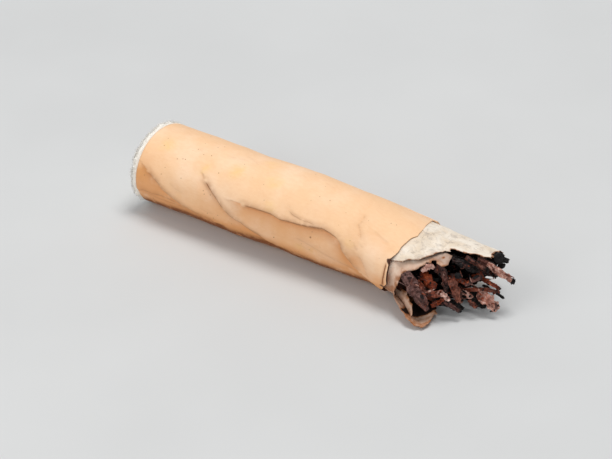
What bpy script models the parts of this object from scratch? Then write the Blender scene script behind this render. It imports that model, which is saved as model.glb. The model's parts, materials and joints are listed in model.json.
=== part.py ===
"""Smoked cigarette butt, crushed at its torn end and lying on its flattened side.

Both papers are cut flat, creased and rolled, as the real ones are. One crush map then
squashes every layer in the same way, so the rolled layers stay nested inside each other.
Metres, +Z up. +X runs from the filter's mouth end, at x = 0, to the torn end.
"""

import math
import random
from dataclasses import dataclass

import bmesh
import bpy
import numpy as np
from mathutils import Matrix, Vector
from mathutils.bvhtree import BVHTree
from mathutils.geometry import delaunay_2d_cdt

MM = 0.001

# Sizes of the cigarette as it was made
CIGARETTE_DIAMETER = 0.0078
FILTER_LENGTH = 0.023
TIPPING_LENGTH = 0.0273
TIPPING_WALL = 0.00008
TIPPING_LAP = 0.0017
PAPER_WALL = 0.00005
PAPER_LAP = 0.0035
PLUG_WRAP_WALL = 0.00005
LAYER_GAP = 0.00009
LAP_GAP = 0.00003
TOBACCO_GAP = 0.00016
TOW_PROUD = 0.0006
TOW_SPREAD = 0.00028
TOW_EDGE_ROUND = 0.0002
TOBACCO_REACH = 0.0007
TOBACCO_HOLLOW = 0.0011
TOBACCO_LUMPS = 0.00016

# How it was crushed
FLAT_SHARE = 0.93
END_SPREAD = 0.00025
END_DROP = 0.00014
END_CRUSH_REACH = 0.006
TORN_SPREAD = 0.0009
TORN_DROP = 0.0014
CRUSH_START = 0.0147
CRUSH_LENGTH = 0.023
SIDE_BEND = 0.0013
BEND_START = 0.006
BEND_LENGTH = 0.028
LIP_SPLAY = 0.0021
PAPER_SWELL = 0.0001
PAPER_SAG = 0.00013
PAPER_SAG_REACH = 0.0013
ROOF_SAG = 0.00012
ROOF_SAG_REACH = 0.0012
TAB_TUCK = 0.00014
TEAR_LIFT = 0.00018
CUFF = 0.00032
RIM_CURL = 0.00055
RIM_CURL_REACH = 0.0005
RAGGED = 0.00009

# Where each change past the tipping paper's edge starts, and how long it takes
PAPER_FREES = (-0.0007, 0.0012)
PAPER_SWELLS = ((-0.0014, 0.001), (0.0, 0.0014))
TOBACCO_SHRINKS = (-0.0014, 0.0008)
LIP_SPLAYS = (0.0003, 0.0033)
TAB_TUCKS = (0.0, 0.0012)
TEAR_LIFTS = (0.0, 0.001)
CUFF_OPENS = (-0.0001, 0.0006)

# How finely the sheets are divided
SHEET_SPACING = 0.00115
PAPER_SPACING = 0.0007
TEAR_SPACING = 0.00049
CREASE_SPACING = 0.0006
TIPPING_COLUMNS = 60
ROD_SIDES = 26
ROD_RINGS = 10
PLUG_RINGS = 5
PLUG_SHOULDER = 0.0006

# The cut tobacco
SHRED_GAP = 0.00004
SHRED_STATIONS = 9
SHRED_SIDES = 6
SHRED_KINK = 0.13
LEAF_THICKNESS = 0.00012
FILLER_SHREDS = 16
FILLER_WIDTH = 0.00065
FILLER_LENGTH = 0.0036
FILLER_REACH = 0.0052
FILLER_SHORTEST = 0.0014
FILLER_SPREAD = 0.62
FILLER_TRIES = 900
HOLLOW_DEPTH = 0.0029
CHAR_CLEARANCE = 1.12
CLEARING_STEPS = 420
CLEARING_DEPTH = 0.00003
CLEARING_DRIFT = 0.000004
SEED = 11

# Radii that follow from the sizes above
ROUND_RADIUS = CIGARETTE_DIAMETER / 2
TIPPING_BORE = ROUND_RADIUS - TIPPING_WALL
PAPER_OUTER_LAYER = TIPPING_BORE - LAYER_GAP
PAPER_RISE = PAPER_WALL + LAP_GAP
PAPER_RADIUS = PAPER_OUTER_LAYER - PAPER_RISE
TOBACCO_RADIUS = PAPER_RADIUS - PAPER_WALL - TOBACCO_GAP
PLUG_WRAP_RADIUS = TIPPING_BORE - LAYER_GAP
TOW_RADIUS = PLUG_WRAP_RADIUS - PLUG_WRAP_WALL - LAYER_GAP


def plan_line(*places):
    """A line on a rolled paper: (mm along the butt, degrees round it) to metres and radians."""
    return np.array([(along * MM, math.radians(turn)) for along, turn in places])


def smooth_rise(value, start, length):
    """0 before start, 1 past start + length, with a smooth rise between them."""
    share = np.clip((value - start) / length, 0.0, 1.0)
    return share * share * (3.0 - 2.0 * share)


def past_edge(along, change):
    """0 to 1 over a change that is set from the tipping paper's edge."""
    start, length = change
    return smooth_rise(along, TIPPING_LENGTH + start, length)


def bump(value, middle, reach):
    """A bell that is 1 at the middle and nearly 0 at twice the reach."""
    return np.exp(-(((value - middle) / reach) ** 2))


@dataclass(frozen=True)
class Crease:
    """A fold line in a paper. The side that lies past it is pushed in, and eases back out."""

    line: np.ndarray
    depth: float
    edge: float
    ease: float
    ridge: float = 0.0


@dataclass(frozen=True)
class Dent:
    """A shallow round hollow in a paper."""

    along: float
    turn: float
    reach: float
    depth: float


# Angles run from the far side (0) over the top (90) to the near side (180) and under (270).
CREASES = (
    Crease(
        plan_line((12.3, 153), (14.6, 146), (16.5, 141), (18.7, 144), (20.9, 146), (22.5, 160), (24.4, 171)),
        depth=0.00042,
        edge=0.00034,
        ease=0.0024,
        ridge=0.0001,
    ),
    Crease(
        plan_line((7.3, 144), (8.6, 157), (9.6, 167), (11.0, 182), (13.2, 194), (15.2, 203)),
        depth=0.0002,
        edge=0.00026,
        ease=0.0012,
        ridge=0.00006,
    ),
    Crease(
        plan_line((2.0, 163), (2.6, 173), (3.3, 182), (4.6, 190), (6.6, 198), (8.8, 202)),
        depth=0.00028,
        edge=0.0003,
        ease=0.0016,
        ridge=0.00006,
    ),
    Crease(
        plan_line((23.0, 104), (22.9, 120), (23.5, 134), (23.9, 150)),
        depth=0.00007,
        edge=0.0003,
        ease=0.0008,
        ridge=0.00003,
    ),
    Crease(
        plan_line((10.8, 187), (13.0, 187), (15.4, 193)),
        depth=0.00012,
        edge=0.00026,
        ease=0.0008,
        ridge=0.00004,
    ),
)
DENTS = (
    Dent(along=0.0249, turn=math.radians(121), reach=0.0014, depth=0.00017),
    Dent(along=0.0238, turn=math.radians(176), reach=0.0012, depth=0.00024),
    Dent(along=0.0192, turn=math.radians(20), reach=0.0026, depth=0.0002),
    Dent(along=0.0105, turn=math.radians(62), reach=0.0022, depth=0.0001),
)

# Torn edges: (mm past the tipping paper's edge, degrees)
PAPER_TEAR = plan_line(
    (3.9, 100), (4.05, 110), (4.05, 118), (3.75, 122), (3.3, 121), (3.05, 117), (2.8, 120),
    (2.75, 125), (2.45, 126), (2.3, 134), (1.9, 144), (1.4, 151), (1.05, 156), (0.95, 170),
    (0.8, 182), (0.65, 192), (0.8, 200), (1.5, 206), (2.8, 211), (3.8, 217), (4.3, 225),
    (4.2, 233), (3.6, 242), (2.9, 254), (2.8, 268), (3.5, 290), (4.6, 312), (5.2, 338),
    (5.8, 370), (6.2, 400), (6.3, 427), (6.7, 436), (6.0, 440), (5.1, 446), (4.9, 448),
    (4.3, 450), (3.5, 454), (3.2, 462), (2.8, 469), (2.4, 480), (1.9, 488), (1.2, 494),
    (0.6, 502), (-0.4, 508),
)  # fmt: skip
TIPPING_EDGE = plan_line(
    (-0.3, 0), (-0.35, 45), (0.25, 82), (0.45, 99), (0.2, 106), (0.0, 119), (-0.05, 131),
    (-0.3, 146), (-0.15, 156), (0.0, 168), (0.0, 182), (-0.5, 196), (-1.1, 210), (-1.4, 222),
    (-1.2, 250), (-0.7, 290), (-0.3, 330), (-0.3, 360),
)  # fmt: skip
PAPER_START = math.radians(100)
LAP_SLOPE = math.radians(14)
LIP_TURN = math.radians(217)
LIP_REACH = math.radians(22)
TEAR_LINE = PAPER_TEAR + (TIPPING_LENGTH, 0.0)
ROOF_SAG_PLACE = plan_line((2.5, 72))[0]
ROOF_SAG_WIDTH = math.radians(14)
CUFF_TURN = math.radians(208)
CUFF_WIDTH = math.radians(17)
RIM_CURL_TURN = math.radians(204)
RIM_CURL_WIDTH = math.radians(18)
TIPPING_LIP = plan_line((-0.6, 169))[0]
TIPPING_LIP_WIDTH = math.radians(19)
TIPPING_LIP_LIFT = 0.00032
TIPPING_START = math.radians(8)


def unrolled(angle):
    """Arc length round the made cigarette."""
    return angle * ROUND_RADIUS


def signed_distance(along, angle, line):
    """Distance in the unrolled paper to a crease's line, positive on the side nearer the ground."""
    point = np.stack(np.broadcast_arrays(along, unrolled(angle)), axis=-1)
    corners = np.stack([line[:, 0], unrolled(line[:, 1])], axis=-1)
    best = np.full(point.shape[:-1], np.inf)
    signed = np.zeros(point.shape[:-1])
    for start, end in zip(corners[:-1], corners[1:]):
        run = end - start
        share = np.clip(((point - start) @ run) / (run @ run), 0.0, 1.0)
        away = point - (start + share[..., None] * run)
        distance = np.hypot(away[..., 0], away[..., 1])
        side = np.sign(run[0] * away[..., 1] - run[1] * away[..., 0])
        nearer = distance < best
        best = np.where(nearer, distance, best)
        signed = np.where(nearer, distance * side, signed)
    return signed


def crease_relief(along, angle, crease):
    """How far a crease moves the paper out (positive) or in (negative)."""
    distance = signed_distance(along, angle, crease.line)
    step = smooth_rise(distance, 0.0, crease.edge)
    fall = np.exp(-np.clip(distance - crease.edge, 0.0, None) / crease.ease)
    above = np.exp(-np.clip(-distance, 0.0, None) / crease.edge)
    ends = smooth_rise(along, crease.line[0, 0] - crease.ease, crease.ease)
    ends = ends * (1.0 - smooth_rise(along, crease.line[-1, 0], crease.ease))
    return ends * (crease.ridge * above * (distance < crease.edge) - crease.depth * step * fall)


def wrap_relief(along, angle):
    """Creases and dents of the wrapped butt, shared by the papers and what they hold."""
    turn = np.mod(angle, math.tau)
    relief = np.zeros(np.broadcast(along, turn).shape)
    for crease in CREASES:
        relief = relief + crease_relief(along, turn, crease)
    for dent in DENTS:
        off = unrolled(turn - dent.turn)
        relief = relief - dent.depth * np.exp(-(((along - dent.along) ** 2 + off**2) / dent.reach**2))
    return relief


def under_relief(along, angle):
    """The lowest relief near a place: what lies under a creased paper gives way more widely."""
    step = CREASE_SPACING
    lowest = wrap_relief(along, angle)
    for shift in (-2, -1, 1, 2):
        for turn in (-2, -1, 0, 1, 2):
            moved = wrap_relief(along + shift * step, angle + turn * step / ROUND_RADIUS)
            lowest = np.minimum(lowest, moved)
    return lowest


def mouth_relief(along, angle):
    """The splayed lip, the tucked inner lap and the lifted tear of the cigarette paper."""
    turn = np.mod(angle, math.tau)
    lip = LIP_SPLAY * past_edge(along, LIP_SPLAYS) * bump(turn, LIP_TURN, LIP_REACH)
    inner = angle < PAPER_START + PAPER_LAP / ROUND_RADIUS
    tuck = TAB_TUCK * past_edge(along, TAB_TUCKS) * inner
    outer = smooth_rise(angle, PAPER_START + math.tau, LAP_SLOPE)
    lift = TEAR_LIFT * past_edge(along, TEAR_LIFTS) * outer
    sag = ROOF_SAG * bump(along - TIPPING_LENGTH, ROOF_SAG_PLACE[0], ROOF_SAG_REACH)
    sag = sag * bump(turn, ROOF_SAG_PLACE[1], ROOF_SAG_WIDTH)
    cuff = CUFF * past_edge(along, CUFF_OPENS) * bump(turn, CUFF_TURN, CUFF_WIDTH)
    to_tear = np.abs(signed_distance(along, angle, TEAR_LINE))
    curl = RIM_CURL * (1.0 - smooth_rise(to_tear, 0.0, RIM_CURL_REACH))
    curl = curl * bump(turn, RIM_CURL_TURN, RIM_CURL_WIDTH)
    return lip - tuck + lift - sag + cuff + curl


def paper_relief(along, angle):
    """Under the tipping paper it gives way as the plug does, and past it has its own folds."""
    free = past_edge(along, PAPER_FREES)
    swell = PAPER_SWELL * sum(past_edge(along, change) for change in PAPER_SWELLS)
    swell = swell * smooth_rise(angle, PAPER_START + PAPER_LAP / ROUND_RADIUS, LAP_SLOPE)
    swell = swell * (1.0 - smooth_rise(angle, PAPER_START + math.tau - LAP_SLOPE, LAP_SLOPE))
    return (1.0 - free) * under_relief(along, angle) + free * mouth_relief(along, angle) + swell


def tobacco_relief(along, angle):
    """The packed tobacco gives way under the wrap, and shrinks from the paper at the mouth."""
    return under_relief(along, angle) - TAB_TUCK * past_edge(along, TOBACCO_SHRINKS)


def tipping_relief(along, angle):
    """The wrap's creases, with the lip that has come unstuck at the torn end."""
    turn = np.mod(angle, math.tau)
    lip = smooth_rise(along, TIPPING_LENGTH + TIPPING_LIP[0], -TIPPING_LIP[0])
    lip = lip * bump(turn, TIPPING_LIP[1], TIPPING_LIP_WIDTH)
    return wrap_relief(along, angle) + TIPPING_LIP_LIFT * lip


def half_width(along):
    """Half the crushed butt's width."""
    end = END_SPREAD * bump(along, 0.0, END_CRUSH_REACH)
    return ROUND_RADIUS + end + TORN_SPREAD * smooth_rise(along, CRUSH_START, CRUSH_LENGTH)


def half_height(along):
    """Half the height that the crushed butt would have without its flat underside."""
    end = END_DROP * bump(along, 0.0, END_CRUSH_REACH)
    return ROUND_RADIUS - end - TORN_DROP * smooth_rise(along, CRUSH_START, CRUSH_LENGTH)


def spine(along):
    """Middle of the butt at each place along it: it bends sideways towards the torn end."""
    aside = SIDE_BEND * smooth_rise(along, BEND_START, BEND_LENGTH)
    return aside, FLAT_SHARE * half_height(along)


def crushed(along, angle, radius, relief, sink=0.0):
    """Where the crush puts a point that was at this angle and radius of the round cigarette."""
    share = radius / ROUND_RADIUS
    side = share * half_width(along) * np.cos(angle)
    up = share * half_height(along) * np.sin(angle)
    reach = np.maximum(np.hypot(side, up), MM)
    grow = 1.0 + relief(along, angle) * share**4 / reach
    aside, middle = spine(along)
    up = np.maximum(up * grow, -share * middle - sink)
    return np.stack(np.broadcast_arrays(along, aside + side * grow, middle + up), axis=-1)


def remove_everything():
    """Clears the scene's objects and the materials they leave."""
    for old in list(bpy.data.objects):
        bpy.data.objects.remove(old, do_unlink=True)
    for old in list(bpy.data.materials):
        bpy.data.materials.remove(old)


TAN = (0.83, 0.5, 0.24)
CREAM = (0.8, 0.74, 0.62)
FIBRE_WHITE = (0.86, 0.83, 0.76)
WRAP_WHITE = (0.88, 0.86, 0.8)
PACKED_BROWN = (0.09, 0.045, 0.025)


def plain_material(name, colour, roughness):
    """The piece's own Principled material."""
    material = bpy.data.materials.new(name)
    material.use_nodes = True
    shader = material.node_tree.nodes["Principled BSDF"]
    shader.inputs["Base Color"].default_value = (*colour, 1.0)
    shader.inputs["Roughness"].default_value = roughness
    material.diffuse_color = (*colour, 1.0)
    return material


class Butt:
    """Collects the pieces under one empty, and knows which space is already taken."""

    def __init__(self):
        self.root = bpy.data.objects.new("cigarette_butt", None)
        bpy.context.scene.collection.objects.link(self.root)
        self.taken = []

    def add(self, name, points, faces, colour, roughness, sharp_angle=40):
        """Makes one named object from its points, with its origin at its first point."""
        origin = Vector(points[0])
        mesh = bpy.data.meshes.new(name)
        mesh.from_pydata([Vector(point) - origin for point in points], [], faces)
        shape = bmesh.new()
        shape.from_mesh(mesh)
        bmesh.ops.recalc_face_normals(shape, faces=shape.faces)
        if shape.calc_volume(signed=True) < 0.0:
            bmesh.ops.reverse_faces(shape, faces=shape.faces)
        bmesh.ops.triangulate(shape, faces=shape.faces)
        shape.to_mesh(mesh)
        shape.free()
        mesh.shade_smooth()
        mesh.set_sharp_from_angle(angle=math.radians(sharp_angle))
        mesh.materials.append(plain_material(name, colour, roughness))
        piece = bpy.data.objects.new(name, mesh)
        piece.location = origin
        piece.parent = self.root
        bpy.context.scene.collection.objects.link(piece)
        self.taken.append(BVHTree.FromPolygons([Vector(point) for point in points], faces))
        return piece

    def free_of_others(self, points, faces):
        """True where a shape cuts none of the pieces made so far."""
        tree = BVHTree.FromPolygons([Vector(point) for point in points], faces)
        return not any(tree.overlap(other) for other in self.taken)

    def stand_at_origin(self):
        """Moves the butt so that the origin is under its middle, on the ground."""
        bpy.context.view_layer.update()
        corners = [
            piece.matrix_world @ vertex.co for piece in self.root.children for vertex in piece.data.vertices
        ]
        low = Vector(map(min, zip(*corners)))
        high = Vector(map(max, zip(*corners)))
        middle = (low + high) / 2
        self.root.location = (-middle.x, -middle.y, -low.z)


def divided(line, spacing, closed=False):
    """The line's corners, with points added so that none lie further apart than the spacing."""
    corners = [*line, line[0]] if closed else list(line)
    points = []
    for start, end in zip(corners[:-1], corners[1:]):
        count = max(1, math.ceil(math.dist(start, end) / spacing))
        points.extend(start + (end - start) * step / count for step in range(count))
    return np.array(points if closed else [*points, corners[-1]])


def offset_line(line, distance):
    """A line beside another one, on its lower side where the distance is positive."""
    run = np.gradient(line, axis=0)
    run /= np.hypot(run[:, 0], run[:, 1])[:, None]
    return line + distance * np.stack([-run[:, 1], run[:, 0]], axis=-1)


def inside(points, outline):
    """Which points lie inside a closed outline, by counting crossings."""
    crossings = np.zeros(len(points), dtype=int)
    for start, end in zip(outline, np.roll(outline, -1, axis=0)):
        spans = (start[1] > points[:, 1]) != (end[1] > points[:, 1])
        slope = (end[0] - start[0]) / np.where(end[1] == start[1], np.inf, end[1] - start[1])
        crossings += spans & (points[:, 0] < start[0] + slope * (points[:, 1] - start[1]))
    return crossings % 2 == 1


def cut_sheet(outline, creases, spacing):
    """Triangles of a flat paper, with its creases as edges: points (along, arc), faces, rim edges."""
    rim = divided(outline, spacing, closed=True)
    rows = [rim]
    edges = [(n, (n + 1) % len(rim)) for n in range(len(rim))]
    count = len(rim)
    for crease in creases:
        flat = np.stack([crease.line[:, 0], unrolled(crease.line[:, 1])], axis=-1)
        line = divided(flat, CREASE_SPACING)
        for beside in (-crease.edge, 0.0, crease.edge, 3.0 * crease.edge):
            row = offset_line(line, beside)
            row = row[inside(row, outline)]
            edges += [(count + n, count + n + 1) for n in range(len(row) - 1)]
            rows.append(row)
            count += len(row)
    placed = np.concatenate(rows)
    low, high = outline.min(axis=0), outline.max(axis=0)
    grid = []
    for step, along in enumerate(np.arange(low[0], high[0], spacing * math.sqrt(0.75))):
        shift = spacing / 2 * (step % 2)
        grid += [(along, arc) for arc in np.arange(low[1] + shift, high[1], spacing)]
    grid = np.array(grid)
    grid = grid[inside(grid, outline)]
    nearest = np.min(np.linalg.norm(grid[:, None] - placed[None], axis=-1), axis=1)
    grid = grid[nearest > 0.6 * spacing]
    points = np.concatenate([placed, grid])
    plan = [Vector(point) / MM for point in points]
    found = delaunay_2d_cdt(plan, edges, [], 0, 1e-6)
    flat = np.array([tuple(vertex) for vertex in found[0]]) * MM
    faces = np.array(found[2])
    faces = faces[inside(flat[faces].mean(axis=1), rim)]
    ends = np.concatenate([faces[:, [0, 1]], faces[:, [1, 2]], faces[:, [2, 0]]])
    once = {}
    for start, end in ends.tolist():
        if once.pop((end, start), None) is None:
            once[(start, end)] = True
    return flat, faces.tolist(), list(once)


def rolled_sheet(sheet, radius, wall, rise_at, rise, relief, sag=0.0):
    """Rolls a cut sheet to a wall with two faces. Past rise_at it lies over its own start."""
    flat, faces, rim = sheet
    along, angle = flat[:, 0], flat[:, 1] / ROUND_RADIUS
    lifted = radius + rise * smooth_rise(angle, rise_at - LAP_SLOPE, LAP_SLOPE)
    sink = sag * smooth_rise(along, TIPPING_LENGTH + PAPER_SAG, PAPER_SAG_REACH)
    outer = crushed(along, angle, lifted, relief, sink)
    inner = crushed(along, angle, lifted - wall, relief, sink)
    count = len(flat)
    walls = [(start, end, end + count, start + count) for start, end in rim]
    back = [tuple(vertex + count for vertex in reversed(face)) for face in faces]
    return np.concatenate([outer, inner]), [*map(tuple, faces), *back, *(wall[::-1] for wall in walls)]


def ragged(angle):
    """Fine waver of a torn edge, fixed by its angle."""
    waves = np.sin(angle * 23.0) + 0.7 * np.sin(angle * 41.0 + 1.3) + 0.5 * np.sin(angle * 67.0 + 0.4)
    return RAGGED * waves


def build_tipping_paper(butt):
    """Tan outer wrap: one turn and a lap, creased, with its torn-side edge a little uneven."""
    start = TIPPING_START
    end = start + math.tau + TIPPING_LAP / ROUND_RADIUS
    turns = np.linspace(start, end, TIPPING_COLUMNS)
    edge = np.interp(np.mod(turns, math.tau), TIPPING_EDGE[:, 1], TIPPING_EDGE[:, 0])
    torn = np.stack([TIPPING_LENGTH + edge, unrolled(turns)], axis=-1)
    outline = np.concatenate([[(0.0, unrolled(end)), (0.0, unrolled(start))], torn])
    sheet = cut_sheet(outline, CREASES, SHEET_SPACING)
    points, faces = rolled_sheet(
        sheet, ROUND_RADIUS, TIPPING_WALL, start + math.tau, TIPPING_WALL + LAP_GAP, tipping_relief
    )
    butt.add("tipping_paper", points, faces, TAN, 0.6)


def build_cigarette_paper(butt):
    """White tobacco wrap: its lap lies at the near top, and its far end is torn away."""
    end = PAPER_START + math.tau + PAPER_LAP / ROUND_RADIUS
    tear = PAPER_TEAR[PAPER_TEAR[:, 1] <= end]
    tear = divided(np.stack([tear[:, 0], unrolled(tear[:, 1])], axis=-1), TEAR_SPACING)
    tear[:, 0] += TIPPING_LENGTH + ragged(tear[:, 1] / ROUND_RADIUS)
    first = FILTER_LENGTH + LAYER_GAP
    outline = np.concatenate([[(first, tear[-1, 1]), (first, tear[0, 1])], tear])
    sheet = cut_sheet(outline, (), PAPER_SPACING)
    points, faces = rolled_sheet(
        sheet, PAPER_RADIUS, PAPER_WALL, PAPER_START + math.tau, PAPER_RISE, paper_relief, PAPER_SAG
    )
    butt.add("cigarette_paper", points, faces, CREAM, 0.75)


def lofted(rings, first_end, last_end):
    """Faces that join equal rings of points into one solid, closed by a point at each end."""
    sides = len(rings[0])
    points = np.concatenate([*rings, [first_end, last_end]])
    faces = []
    for ring in range(len(rings) - 1):
        for side in range(sides):
            here, there = ring * sides, (ring + 1) * sides
            turn = (side + 1) % sides
            faces.append((here + side, here + turn, there + turn, there + side))
    last = (len(rings) - 1) * sides
    for side in range(sides):
        turn = (side + 1) % sides
        faces.append((len(points) - 2, turn, side))
        faces.append((len(points) - 1, last + side, last + turn))
    return points, faces


def ring_angles():
    """Even angles round a rod."""
    return np.arange(ROD_SIDES) * math.tau / ROD_SIDES


def filter_places():
    """Places of the rings along the filter, the same for the tow and for its wrap."""
    return [0.0, *np.linspace(TOW_PROUD + 0.001, FILTER_LENGTH, ROD_RINGS)]


def build_filter_tow(butt):
    """Fibre rod of the filter, its mouth end rounded over and a little proud of the wrap."""
    angles = ring_angles()
    rings = []
    rim = TOW_RADIUS + TOW_SPREAD
    # How proud each ring of the fluffed end is, and how many edge rounds it lies inside the rim
    for share, rounds in ((1.0, 4.0), (0.93, 1.5), (0.6, 0.0), (0.22, 0.0)):
        rings.append(crushed(-TOW_PROUD * share, angles, rim - rounds * TOW_EDGE_ROUND, under_relief))
    rings += [crushed(along, angles, TOW_RADIUS, under_relief) for along in filter_places()]
    aside, middle = spine(0.0)
    first = (-TOW_PROUD * 1.1, aside, middle)
    aside, middle = spine(FILTER_LENGTH)
    points, faces = lofted(rings, first, (FILTER_LENGTH, aside, middle))
    butt.add("filter_tow", points, faces, FIBRE_WHITE, 0.9)


def build_plug_wrap(butt):
    """Thin white paper tube round the tow, under the tipping paper."""
    angles = ring_angles()
    places = filter_places()
    outer = [crushed(along, angles, PLUG_WRAP_RADIUS, under_relief) for along in places]
    inner = [crushed(along, angles, PLUG_WRAP_RADIUS - PLUG_WRAP_WALL, under_relief) for along in places]
    rings = [*outer, *reversed(inner)]
    faces = []
    for ring in range(len(rings)):
        for side in range(ROD_SIDES):
            here, there = ring * ROD_SIDES, (ring + 1) % len(rings) * ROD_SIDES
            turn = (side + 1) % ROD_SIDES
            faces.append((here + side, here + turn, there + turn, there + side))
    butt.add("plug_wrap", np.concatenate(rings), faces, WRAP_WHITE, 0.8)


def plug_face(across, up):
    """How far the packed tobacco stands past the tipping paper's edge: hollow under the roof."""
    hollow = TOBACCO_HOLLOW * bump(up, 0.55, 0.45) * bump(across, 0.1, 0.7)
    lumps = TOBACCO_LUMPS * (math.sin(across * 7.0 + 1.0) + math.sin(up * 9.0 + across * 4.0))
    return TOBACCO_REACH - hollow + lumps


def mouth_place(past, across, up):
    """A place in the torn mouth: metres past the tipping paper, then shares of the section."""
    along = TIPPING_LENGTH + past
    aside, middle = spine(along)
    return np.array([along, aside + across * half_width(along), middle + up * half_height(along)])


def build_tobacco_plug(butt):
    """Packed tobacco that the papers still hold, with a lumpy face towards the mouth."""
    angles = ring_angles()
    first = FILTER_LENGTH + LAYER_GAP
    rings = [
        crushed(along, angles, TOBACCO_RADIUS, tobacco_relief)
        for along in np.linspace(first, TIPPING_LENGTH - PLUG_SHOULDER, PLUG_RINGS)
    ]
    for share in (1.0, 0.7, 0.38):
        ring = []
        for angle in angles:
            across, up = share * math.cos(angle), share * math.sin(angle)
            along = TIPPING_LENGTH + plug_face(across, up)
            ring.append(crushed(along, angle, share * TOBACCO_RADIUS, tobacco_relief))
        rings.append(np.array(ring))
    aside, middle = spine(first)
    last = mouth_place(plug_face(0.0, 0.0), 0.0, 0.0)
    points, faces = lofted(rings, (first, aside, middle), last)
    butt.add("tobacco_plug", points, faces, PACKED_BROWN, 0.9)


@dataclass(frozen=True)
class Tone:
    """Colour of a shred of leaf."""

    colour: tuple
    roughness: float


DARK = Tone((0.055, 0.035, 0.035), 0.7)
BROWN = Tone((0.16, 0.075, 0.045), 0.65)
RUST = Tone((0.32, 0.1, 0.04), 0.6)
PINK = Tone((0.55, 0.28, 0.2), 0.65)
CHAR = Tone((0.012, 0.011, 0.012), 0.9)


@dataclass(frozen=True)
class Shred:
    """A strip of cut leaf: its course through the mouth, its size, and how it turns and folds."""

    name: str
    root: tuple
    middle: tuple
    tip: tuple
    width: float
    tone: Tone
    lean: float = 0.0
    twist: float = 0.3
    fold: float = 0.26
    thickness: float = LEAF_THICKNESS


# The way the torn mouth looks: shreds lie across it, and one that meets another moves along it.
MOUTH_FACING = Vector((0.5, -0.68, 0.54)).normalized()

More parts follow.
